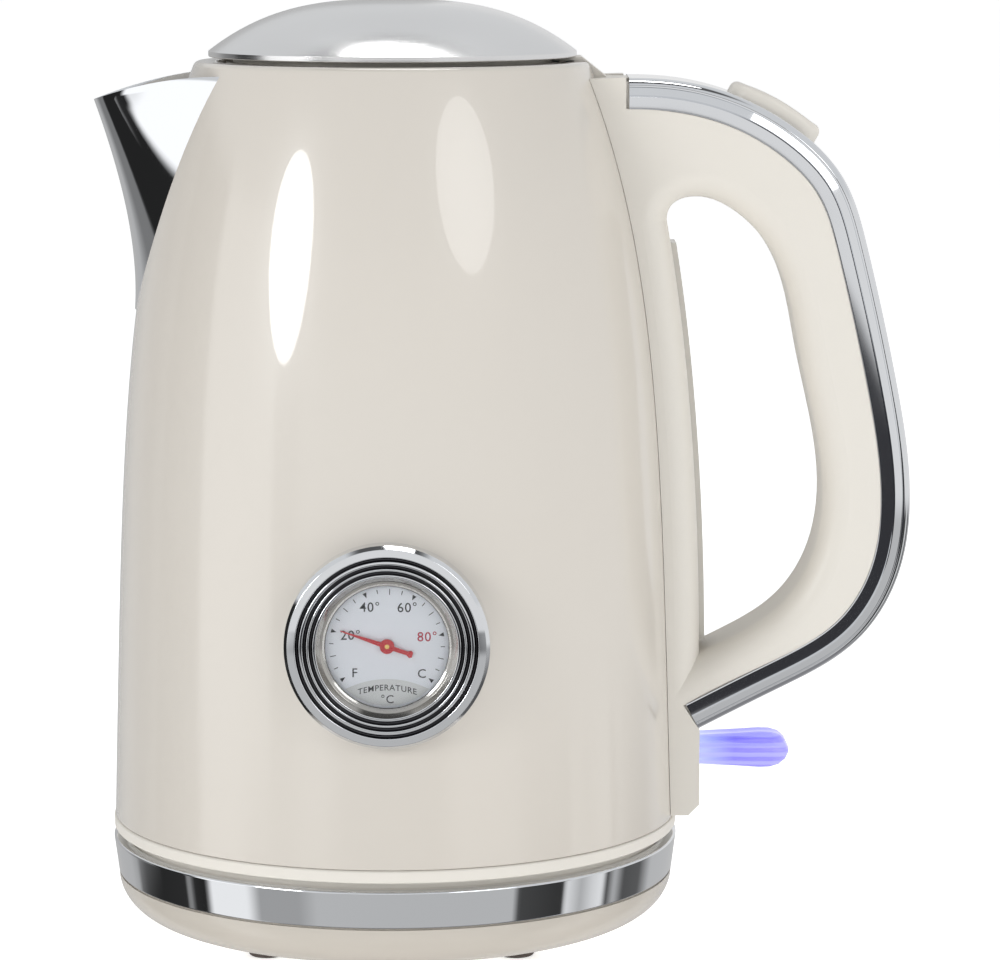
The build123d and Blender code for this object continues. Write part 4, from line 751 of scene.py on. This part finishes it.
bm = bmesh.new()
levels = []
for level in range(33):
    rise = 0.02 + 0.98 * level / 32
    row = []
    for step in range(49):
        across = 0.5 - 0.5 * cos(pi * step / 48)
        z = SPOUT_FOOT + SPOUT_DEPTH * rise
        for _ in range(4):
            top = rim_height(spout_point(across, z).x)
            z = SPOUT_FOOT + (top - SPOUT_FOOT) * rise
        row.append(spout_point(across, z))
    levels.append(chain(bm, row))
for lower, upper in zip(levels, levels[1:]):
    bmesh.ops.bridge_loops(bm, edges=lower + upper)
tidy(bm)
if sum(face.normal.x for face in bm.faces) > 0:
    bmesh.ops.reverse_faces(bm, faces=bm.faces)
spout = piece("spout_beak", bm, [chrome, inner_steel], "kettle", "chrome", "spout")
wall(spout, SPOUT_SHEET)
rim_bevel = spout.modifiers.new("rim", "BEVEL")
rim_bevel.width = 0.3 * MM
rim_bevel.segments = 2
rim_bevel.limit_method = "ANGLE"

# %% [markdown]
# ## The filter mesh
# Behind the spout a woven steel mesh holds back scale. It is a grid turned into wires by the
# wireframe operator and then laid against the inside of the wall.

# %% Filter mesh
mesh_low, mesh_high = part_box("filter_mesh")
PITCH = 1.15 * MM
bm = bmesh.new()
wide = mesh_high.y - mesh_low.y
tall = mesh_high.z - mesh_low.z
bmesh.ops.create_grid(bm, x_segments=int(wide / PITCH), y_segments=int(tall / PITCH), size=0.5)
bmesh.ops.scale(bm, verts=bm.verts, vec=(wide, tall, 1.0))
bmesh.ops.wireframe(bm, faces=bm.faces, thickness=0.34 * MM, use_replace=True, use_boundary=True,
                    use_even_offset=True)
for vert in bm.verts:
    y, z = vert.co.x, (mesh_low.z + mesh_high.z) / 2 + vert.co.y
    seat = wall_radius(z) - SHEET - 0.9 * MM
    vert.co = (-sqrt(seat ** 2 - y ** 2) + vert.co.z, y, z)
bmesh.ops.recalc_face_normals(bm, faces=bm.faces)
piece("woven_filter", bm, inner_steel, "kettle", "steel", "filter_mesh", crease=60.0)

# %% [markdown]
# ## The chrome trim on the handle
# A chrome-plated strip wraps the handle's back. Seen from the side it has a flat band next
# to the plastic, a fine step, and a rounded outer face. One cross-section is placed at even
# steps along the handle's outline and the sections are bridged.

# %% Handle outline
def smooth_line(points, count):
    """Even steps along a natural cubic curve through points, with the direction at each."""
    size = len(points)
    length = [(Vector(b) - Vector(a)).length for a, b in zip(points, points[1:])]
    knots = [0.0]
    for step in length:
        knots.append(knots[-1] + step)
    bends = []
    for axis in (0, 1):
        slope = [(points[i + 1][axis] - points[i][axis]) / length[i] for i in range(size - 1)]
        bend = [0.0] * size
        for _ in range(120):
            for i in range(1, size - 1):
                pull = 6 * (slope[i] - slope[i - 1])
                pull -= length[i - 1] * bend[i - 1] + length[i] * bend[i + 1]
                bend[i] = pull / (2 * (length[i - 1] + length[i]))
        bends.append(bend)
    result = []
    for step in range(count + 1):
        t = knots[-1] * step / count
        i = max(k for k in range(size - 1) if knots[k] <= t or k == 0)
        h, u = length[i], t - knots[i]
        spot, direction = [], []
        for axis in (0, 1):
            a, b = points[i][axis], points[i + 1][axis]
            c, d = bends[axis][i], bends[axis][i + 1]
            first = (b - a) / h - h * (2 * c + d) / 6
            spot.append(a + u * (first + u * (c / 2 + u * (d - c) / (6 * h))))
            direction.append(first + u * (c + u * (d - c) / (2 * h)))
        result.append((Vector(spot), Vector(direction).normalized()))
    return result


handle_points = [
    (BODY_R - 22.3 * MM, BODY_TOP - 4.4 * MM), (BODY_R - 2.3 * MM, BODY_TOP - 4.8 * MM),
    (BODY_R + 14.7 * MM, BODY_TOP - 8.8 * MM), (BODY_R + 33.1 * MM, BODY_TOP - 19.2 * MM),
    (BODY_R + 44.2 * MM, BODY_TOP - 31.4 * MM), (BODY_R + 50.5 * MM, BODY_TOP - 48.8 * MM),
    (BODY_R + 59.2 * MM, BODY_TOP - 87.2 * MM), (BODY_R + 63.1 * MM, BODY_Z + 87.6 * MM),
    (BODY_R + 59.9 * MM, BODY_Z + 66.2 * MM), (BODY_R + 49.2 * MM, BODY_Z + 48.9 * MM),
    (BODY_R + 27.7 * MM, BODY_Z + 35.4 * MM), (BODY_R + 6.2 * MM, BODY_Z + 24.4 * MM),
]
outline = smooth_line(handle_points, 150)[5:]
print("trim runs from", tuple(round(value / MM, 1) for value in outline[0][0]))

# %% Trim
TRIM_HALF_W = 16.3 * MM
BAND = 8.2 * MM
side_line = [
    (TRIM_HALF_W - 1.2 * MM, BAND), (TRIM_HALF_W - 0.1 * MM, BAND), (TRIM_HALF_W, 7.9 * MM),
    (TRIM_HALF_W, 4.9 * MM), (TRIM_HALF_W - 0.35 * MM, 4.65 * MM),
    (TRIM_HALF_W - 0.15 * MM, 4.4 * MM), (TRIM_HALF_W - 0.8 * MM, 2.5 * MM),
    (TRIM_HALF_W - 1.15 * MM, 2.3 * MM),
    (TRIM_HALF_W - 1.2 * MM, 2.0 * MM),
]
round_part = [
    (TRIM_HALF_W - 4.5 * MM + 3.4 * MM * cos(turn), 2.2 * MM - 2.2 * MM * sin(turn))
    for turn in [pi / 2 * step / 8 for step in range(1, 9)]
]
half = side_line + round_part
section = half + [(-y, depth) for y, depth in reversed(half)]
bm = bmesh.new()
loops = []
for spot, direction in outline:
    inward = Vector((direction.y, -direction.x))
    ring = [(spot.x + inward.x * depth, y, spot.y + inward.y * depth) for y, depth in section]
    loops.append(chain(bm, ring))
for first, second in zip(loops, loops[1:]):
    bmesh.ops.bridge_loops(bm, edges=first + second)
tidy(bm)
piece("chrome_trim", bm, chrome, "kettle", "chrome", "handle_trim", crease=24.0)

# %% [markdown]
# ## The lid button
# A cream pad on the handle's slope opens the lid. It starts as a cube, gets the pad's size,
# and its edges are bevelled: first the four upright corners, then the top rim.

# %% Button
BUTTON_SIZE = (27.0 * MM, 19.0 * MM, 7.6 * MM)
BUTTON_TILT = radians(29.0)
BUTTON_AT = Vector((BODY_R + 25.7 * MM, 0.0, BODY_TOP - 14.0 * MM))
bm = bmesh.new()
bmesh.ops.create_cube(bm, size=1.0)
bmesh.ops.scale(bm, verts=bm.verts, vec=BUTTON_SIZE)
upright = [edge for edge in bm.edges if abs(edge.verts[0].co.z - edge.verts[1].co.z) > 1 * MM]
bmesh.ops.bevel(bm, geom=upright, offset=6.0 * MM, affect="EDGES", segments=10, profile=0.5,
                material=-1)
top_rim = [edge for edge in bm.edges if all(vert.co.z > 3 * MM for vert in edge.verts)
           and len({round(face.normal.z) for face in edge.link_faces}) > 1]
bmesh.ops.bevel(bm, geom=top_rim, offset=1.6 * MM, affect="EDGES", segments=5, profile=0.5,
                material=-1)
bmesh.ops.translate(bm, verts=bm.verts, vec=(0, 0, 0.2 * MM))
slices = [edge for edge in bm.edges if abs(edge.verts[0].co.x - edge.verts[1].co.x) > 8 * MM]
bmesh.ops.subdivide_edges(bm, edges=slices, cuts=11, use_grid_fill=True)
for vert in bm.verts:
    if vert.co.z > 0:
        along, aside = 2 * vert.co.x / BUTTON_SIZE[0], 2 * vert.co.y / BUTTON_SIZE[1]
        vert.co.z -= 1.7 * MM * along ** 2 + 0.5 * MM * aside ** 2
bmesh.ops.rotate(bm, verts=bm.verts, cent=(0, 0, 0), matrix=Matrix.Rotation(BUTTON_TILT, 3, "Y"))
bmesh.ops.translate(bm, verts=bm.verts, vec=BUTTON_AT)
tidy(bm)
piece("button_pad", bm, cream_plastic, "lid_button", "cream_plastic", "lid_button")

# %% [markdown]
# ## The switch lever
# The paddle is clear plastic moulded with ribs along its length, wider and rounder at the
# tip. Its cross-section is a rounded bar with shallow flutes; the sections are bridged from
# the pivot to the tip. It stays out of reflections, so that its glow doesn't stain the enamel.

# %% Lever
PIVOT = Vector((70.0 * MM, 0.0, 47.0 * MM))
TIP_X = lever_high.x
FLUTES = 12
FLUTE_DEPTH = 0.07
bm = bmesh.new()
loops = []
stations = [
    (lever_low.x, 3.0, 5.9), (lever_low.x + 1.5 * MM, 3.4, 6.1), (column_back - 2.0 * MM, 4.0, 6.1),
    (column_back - 0.8 * MM, 4.1, 8.0), (column_back + 3.0 * MM, 4.3, 8.5),
    (TIP_X - 14.0 * MM, 4.7, 8.5), (TIP_X - 8.0 * MM, 5.1, 8.5), (TIP_X - 5.0 * MM, 5.0, 8.4),
    (TIP_X - 2.6 * MM, 4.3, 7.9), (TIP_X - 0.9 * MM, 2.8, 6.8), (TIP_X, 0.9, 5.2),
]
for x, half_h, half_w in stations:
    ring = []
    for step in range(72):
        turn = 2 * pi * step / 72
        faded = min(1.0, (TIP_X - x) / (6 * MM))
        flute = 1.0 - FLUTE_DEPTH * (0.5 + 0.5 * cos(FLUTES * turn)) * faded
        y = half_w * abs(cos(turn)) ** 0.7 * (1 if cos(turn) > 0 else -1)
        z = half_h * abs(sin(turn)) ** 0.8 * (1 if sin(turn) > 0 else -1)
        ring.append((x, y * flute * MM, PIVOT.z + z * flute * MM))
    verts = [bm.verts.new(point) for point in ring]
    loops.append([bm.edges.new(pair) for pair in zip(verts, verts[1:] + verts[:1])])
for first, second in zip(loops, loops[1:]):
    bmesh.ops.bridge_loops(bm, edges=first + second)
bmesh.ops.holes_fill(bm, edges=loops[0] + loops[-1], sides=0)
tidy(bm)
lever = piece("lever_paddle", bm, lever_glow, "switch", "lever_glow", "switch_lever", crease=50.0)
lever.visible_glossy = False

# %% [markdown]
# ## The latch spring
# The CAD spring is a plain sleeve between the latch bar and a stop in the handle. A merged
# copy of it stands in for it, with a mesh of its own.

# %% Latch spring
cad_spring = frame["nodes"]["latch_spring"]
bm = bmesh.new()
bm.from_mesh(cad_spring.data)
bmesh.ops.remove_doubles(bm, verts=bm.verts, dist=0.001 * MM)
bar_spring = piece("bar_spring", bm, inner_steel, "kettle", "steel", "latch_spring")
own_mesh(bar_spring)

# %% [markdown]
# ## The thermometer
# Its bezel is turned chrome with three narrow grooves and a cone down to the glass. It is
# spun about the gauge's own axis, and its back edge is laid on the curved wall. The grooves
# and the cone get darker plating as painted shade, picked by their distance from the axis.

# %% Gauge bezel
GAUGE_Z = 89.5 * MM
GAUGE_Y = -wall_radius(GAUGE_Z)
BEZEL_R = 26.5 * MM
GROOVES = (23.1, 21.2, 19.6)
GROOVE_REACH = 0.42
CONE_R = 18.3


def spun_gauge(profile, steps):
    """A bmesh from (radius, distance in front of the wall) points turned about the gauge's axis."""
    bm = spun(profile, steps)
    bmesh.ops.rotate(bm, verts=bm.verts, cent=(0, 0, 0), matrix=Matrix.Rotation(pi / 2, 3, "X"))
    bmesh.ops.translate(bm, verts=bm.verts, vec=(0, GAUGE_Y, GAUGE_Z))
    return bm


bezel_steps = softened([
    (26.5, -3.0), (26.5, 4.2), (25.6, 5.4), (23.6, 5.8), (23.1, 4.2), (22.5, 5.7), (21.7, 5.75),
    (21.2, 4.2), (20.6, 5.6), (20.1, 5.6), (19.6, 4.2), (19.0, 5.4), (18.4, 5.4), (17.2, 4.0),
    (15.9, 3.6), (15.9, 3.0),
], 0.25, steps=4)
bezel_line = [(radius * MM, depth * MM) for radius, depth in bezel_steps]
bm = spun_gauge(bezel_line, steps=224)
for vert in bm.verts:
    reach = hypot(vert.co.x, vert.co.z - GAUGE_Z)
    if reach > BEZEL_R - 0.05 * MM and vert.co.y > GAUGE_Y + 1.0 * MM:
        vert.co.y = -sqrt(wall_radius(vert.co.z) ** 2 - vert.co.x ** 2) + 0.3 * MM
# Faces in the grooves and on the cone take the darker plating, as painted shade.
for face in bm.faces:
    middle = face.calc_center_median()
    reach = hypot(middle.x, middle.z - GAUGE_Z) / MM
    if any(abs(reach - groove) < GROOVE_REACH for groove in GROOVES):
        face.material_index = 1
    elif reach < CONE_R:
        face.material_index = 2
piece("gauge_bezel_ring", bm, [chrome, groove_shade_chrome, cone_shade_chrome], "kettle", "chrome",
      "gauge_bezel", "gauge_ring", crease=40.0)

# %% [markdown]
# ### The dial's print
# The scale runs from 0 to 100 degrees over most of a turn. Ticks are thin raised bars, the
# long marks are small triangles, and the figures are text made into mesh. The print stands
# 0.03 mm off the dial, as thick ink does.

# %% Dial print
DIAL_FRONT = GAUGE_Y - 1.5 * MM
INK = 0.03 * MM


def scale_angle(degrees_c):
    """Angle of a temperature on the dial, from +X as seen from the front."""
    marks = [(0, 217.0), (20, 164.3), (40, 112.8), (60, 61.5), (80, 11.9), (100, -38.3)]
    for (low, start), (high, end) in zip(marks, marks[1:]):
        if degrees_c <= high:
            return radians(start + (end - start) * (degrees_c - low) / (high - low))
    return radians(marks[-1][1])


def dial_patch(bm, corners, lift=INK):
    """A thin raised polygon on the dial, from (x, height) corners about its centre."""
    front = [bm.verts.new((x * MM, DIAL_FRONT - lift, GAUGE_Z + z * MM)) for x, z in corners]
    face = bm.faces.new(front)
    grown = bmesh.ops.extrude_face_region(bm, geom=[face])
    moved = [item for item in grown["geom"] if isinstance(item, bmesh.types.BMVert)]
    bmesh.ops.translate(bm, verts=moved, vec=(0, lift, 0))


def around(angle, radius, aside=0.0):
    """A place on the dial at an angle and radius, moved sideways."""
    return (radius * cos(angle) - aside * sin(angle), radius * sin(angle) + aside * cos(angle))


# %% Ticks and long marks
SCALE_R = 14.9
bm = bmesh.new()
for mark in range(0, 101, 5):
    angle = scale_angle(mark)
    if mark % 20 == 0:
        dial_patch(bm, [around(angle, SCALE_R, -0.55), around(angle, SCALE_R, 0.55),
                        around(angle, SCALE_R - 1.4)])
    else:
        length = 1.1 if mark % 10 else 1.5
        foot = SCALE_R - length
        dial_patch(bm, [around(angle, SCALE_R, -0.1), around(angle, SCALE_R, 0.1),
                        around(angle, foot, 0.1), around(angle, foot, -0.1)])
bmesh.ops.recalc_face_normals(bm, faces=bm.faces)
piece("dial_ticks", bm, dial_black, "kettle", "dial_white")

# %% Grey panel at the foot of the dial
PANEL_R = 15.6
bm = bmesh.new()
lower_edge = [around(radians(-134.0 + 88.0 * step / 24), PANEL_R) for step in range(25)]
shares = [1 - 2 * step / 16 for step in range(1, 16)]
upper_edge = [(10.8 * share, -11.2 + 2.6 * (1 - share ** 2)) for share in shares]
dial_patch(bm, lower_edge + upper_edge, lift=INK / 2)
bmesh.ops.recalc_face_normals(bm, faces=bm.faces)
piece("dial_panel", bm, dial_grey, "kettle", "dial_white")


# %% Figures
def dial_text(name, words, at, size, material, bend=None):
    """Figures on the dial; bend is the radius of an arched line of words."""
    curve = bpy.data.curves.new(name, "FONT")
    curve.body = words
    curve.size = size * MM
    curve.align_x = "CENTER"
    curve.align_y = "CENTER"
    curve.extrude = 0.012 * MM
    curve.offset = 0.018 * MM
    curve.space_character = 1.1
    curve.resolution_u = 3
    holder = bpy.data.objects.new(name + "_curve", curve)
    bpy.context.collection.objects.link(holder)
    bpy.context.view_layer.update()
    solved = holder.evaluated_get(bpy.context.evaluated_depsgraph_get())
    mesh = bpy.data.meshes.new_from_object(solved)
    bpy.data.objects.remove(holder)
    text = bmesh.new()
    text.from_mesh(mesh)
    for vert in text.verts:
        x, up, lift = vert.co
        arch = x * x / (2 * bend * MM) if bend else 0.0
        vert.co = (at[0] * MM + x, DIAL_FRONT - INK - lift, GAUGE_Z + at[1] * MM + up - arch)
    bmesh.ops.recalc_face_normals(text, faces=text.faces)
    piece(name, text, material, "kettle", "dial_white")


dial_text("figure_20", "20°", (-9.4, 2.7), 3.5, dial_black)
dial_text("figure_40", "40°", (-4.4, 10.0), 3.5, dial_black)
dial_text("figure_60", "60°", (5.2, 9.9), 3.5, dial_black)
dial_text("figure_80", "80°", (10.3, 2.3), 3.5, dial_crimson)
dial_text("letter_f", "F", (-8.4, -7.1), 3.3, dial_black)
dial_text("letter_c", "C", (8.9, -7.3), 3.3, dial_black)
dial_text("word_temperature", "TEMPERATURE", (0.0, -10.9), 2.15, dial_black, bend=24.0)
dial_text("word_degrees", "°C", (0.0, -14.0), 3.0, dial_black)

# %% [markdown]
# ### Needle
# The pointer is stamped from thin sheet, painted red and tapered to its tip, with a wider
# tail and a round hub.

# %% Needle
HUB_R = 1.9 * MM
NEEDLE_SHEET = 0.3 * MM
NEEDLE_TURN = radians(161.2)
bm = bmesh.new()
pointer = [(12.7, 0.1), (12.7, -0.1), (1.2, -0.62), (-5.4, -0.5), (-6.3, -0.98), (-6.9, -0.6),
           (-6.9, 0.6), (-6.3, 0.98), (-5.4, 0.5), (1.2, 0.62)]
verts = [bm.verts.new((x * MM, z * MM, 0.0)) for x, z in pointer]
bm.faces.new(verts)
hub = bmesh.ops.create_circle(bm, cap_ends=True, segments=40, radius=HUB_R)
bmesh.ops.translate(bm, verts=hub["verts"], vec=(0, 0, 0.02 * MM))
grown = bmesh.ops.extrude_face_region(bm, geom=bm.faces[:])
moved = [item for item in grown["geom"] if isinstance(item, bmesh.types.BMVert)]
bmesh.ops.translate(bm, verts=moved, vec=(0, 0, NEEDLE_SHEET))
turned_to_front = Matrix.Rotation(pi / 2, 3, "X") @ Matrix.Rotation(NEEDLE_TURN, 3, "Z")
bmesh.ops.rotate(bm, verts=bm.verts, cent=(0, 0, 0), matrix=turned_to_front)
bmesh.ops.translate(bm, verts=bm.verts, vec=(0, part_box("gauge_needle")[1].y, GAUGE_Z))
bmesh.ops.recalc_face_normals(bm, faces=bm.faces)
piece("red_pointer", bm, needle_red, "needle", "needle_red", "gauge_needle")

# %% [markdown]
# ## Studio
# A white floor, an oval light on each side for the highlights on the enamel, an oval light
# above for the bright spot on the lid, and a soft fill that mirrors don't see.

# %% Floor
bm = bmesh.new()
bmesh.ops.create_grid(bm, x_segments=1, y_segments=1, size=40.0)
floor_mesh = bpy.data.meshes.new("floor")
bm.to_mesh(floor_mesh)
bm.free()
floor = bpy.data.objects.new("floor", floor_mesh)
bpy.context.collection.objects.link(floor)
floor.visible_glossy = False
paper = bpy.data.materials.new("paper")
paper.use_nodes = True
paper_shader = paper.node_tree.nodes["Principled BSDF"]
paper_noise = node(paper.node_tree, "ShaderNodeTexNoise", Scale=3.0)
paper_mix = mixed(paper.node_tree, paper_noise.outputs["Fac"],
                  (0.95, 0.95, 0.95, 1.0), (0.93, 0.93, 0.93, 1.0))
paper.node_tree.links.new(paper_mix, paper_shader.inputs["Base Color"])
paper_shader.inputs["Roughness"].default_value = 0.9
paper_shader.inputs["Emission Color"].default_value = (1.0, 1.0, 1.0, 1.0)
paper_shader.inputs["Emission Strength"].default_value = 0.6
floor_mesh.materials.append(paper)
print("floor laid:", floor.name)


# %% Lights
MIDDLE = Vector((0.0, 0.0, 0.13))


def softbox(name, azimuth, elevation, distance, width, height, power):
    """An oval light that looks at the middle of the kettle from a direction."""
    a, e = radians(azimuth), radians(elevation)
    away = Vector((sin(a) * cos(e), -cos(a) * cos(e), sin(e)))
    data = bpy.data.lights.new(name, "AREA")
    data.shape = "ELLIPSE"
    data.size = width
    data.size_y = height
    data.energy = power
    light = bpy.data.objects.new(name, data)
    light.location = MIDDLE + away * distance
    light.rotation_euler = (-away).to_track_quat("-Z", "Y").to_euler()
    bpy.context.collection.objects.link(light)
    return light


softbox("left_window", -46.5, 17.0, 1.6, 0.56, 0.62, 7.0)
softbox("right_window", 38.0, 25.5, 1.8, 0.86, 0.7, 3.4)
softbox("ceiling", 160.0, 80.0, 1.6, 0.86, 0.38, 5.2)
right_fill = softbox("right_fill", 75.0, 10.0, 1.8, 1.2, 1.2, 5.0)
right_fill.visible_glossy = False
print("lights:", len(bpy.data.lights))

# %% [markdown]
# ### The room that the chrome mirrors
# To the eye the studio is plain white, and it lights the kettle evenly. A mirror needs dark
# things to look like metal, so what glossy rays meet is a room. Below the eye its walls have
# dark flags between pale stretches. Level with the eye they are plainer, with one black and
# one bright stretch for the spout. Above is a pale ceiling with a dark patch overhead, and a
# dark strip lies low in front.

# %% World
world = bpy.data.worlds.new("studio")
bpy.context.scene.world = world
world.use_nodes = True
tree = world.node_tree
tree.nodes.clear()
out = node(tree, "ShaderNodeOutputWorld")
direction = node(tree, "ShaderNodeTexCoord").outputs["Generated"]
east, north, up = node(tree, "ShaderNodeSeparateXYZ", Vector=direction).outputs


def maths(operation, *values):
    """A math node of one or two inputs."""
    made = node(tree, "ShaderNodeMath", {"operation": operation})
    for socket, value in zip(made.inputs, values):
        plug(tree, socket, value)
    return made.outputs[0]


def between(value, low, high):
    """0 below low and 1 above high, with a smooth step."""
    made = node(tree, "ShaderNodeMapRange", {"interpolation_type": "SMOOTHSTEP"}, Value=value,
                From_Min=low, From_Max=high)
    return made.outputs["Result"]


bearing = maths("ARCTAN2", east, maths("MULTIPLY", north, -1.0))
share = maths("ADD", maths("DIVIDE", bearing, 2 * pi), 0.5)


def round_room(values):
    """A grey for each bearing, from (degrees, brightness) pairs; 0 faces the camera, + is right."""
    return colour_ramp(tree, share, [
        (angle / 360.0 + 0.5, (value, value, value, 1.0)) for angle, value in values
    ])


low_walls = round_room([
    (-180, 0.5), (-134, 0.5), (-131, 0.02), (-97, 0.03), (-95, 0.35), (-92, 0.03),
    (-85, 0.02), (-82, 1.0), (-64, 1.0), (-58, 0.4), (-40, 0.4), (-32, 0.55), (52, 0.55),
    (55, 0.07), (76, 0.04), (78, 0.85), (86, 0.5), (92, 0.75), (98, 0.9), (101, 0.06),
    (106, 0.5), (112, 0.1), (124, 0.12), (134, 0.55),
])
eye_level = round_room([
    (-180, 0.5), (-140, 0.5), (-125, 0.22), (-114, 0.22), (-112, 0.02), (-88, 0.02),
    (-85, 1.25), (-52, 1.25), (-49, 0.3), (-41, 0.3), (-36, 0.82), (180, 0.82),
])

# %% Room, from the floor up
FLOOR_GREY = (0.26, 0.26, 0.27, 1.0)
CEILING = (0.72, 0.73, 0.74, 1.0)
DARK_PATCH = (0.1, 0.1, 0.1, 1.0)
LOW_STRIP = (0.04, 0.04, 0.045, 1.0)
under = mixed(tree, between(up, -0.7, -0.85), low_walls, FLOOR_GREY)
overhead = mixed(tree, between(up, 0.85, 0.94), CEILING, DARK_PATCH)
above = mixed(tree, between(up, 0.24, 0.34), eye_level, overhead)
far_left = maths("MULTIPLY", between(bearing, -1.62, -1.68), 0.17)
room = mixed(tree, between(maths("ADD", up, far_left), -0.2, -0.12), under, above)
low_front = maths("MULTIPLY", between(up, -0.22, -0.18), between(up, -0.1, -0.12))
low_front = maths("MULTIPLY", low_front, between(maths("ABSOLUTE", bearing), 0.5, 0.3))
mirror = mixed(tree, low_front, room, LOW_STRIP)
print("room for mirrors:", len(tree.nodes), "nodes")

# %% What each kind of ray meets
path = node(tree, "ShaderNodeLightPath")
seen = node(tree, "ShaderNodeBackground", Color=(1.0, 1.0, 1.0, 1.0), Strength=1.0)
lit = node(tree, "ShaderNodeBackground", Color=(0.97, 0.985, 1.0, 1.0), Strength=0.43)
mirrored = node(tree, "ShaderNodeBackground", Color=mirror, Strength=1.0)
first = node(tree, "ShaderNodeMixShader", Fac=path.outputs["Is Glossy Ray"])
tree.links.new(lit.outputs[0], first.inputs[1])
tree.links.new(mirrored.outputs[0], first.inputs[2])
second = node(tree, "ShaderNodeMixShader", Fac=path.outputs["Is Camera Ray"])
tree.links.new(first.outputs[0], second.inputs[1])
tree.links.new(seen.outputs[0], second.inputs[2])
tree.links.new(second.outputs[0], out.inputs["Surface"])
bpy.context.scene.view_settings.view_transform = "Standard"
print("studio ready")
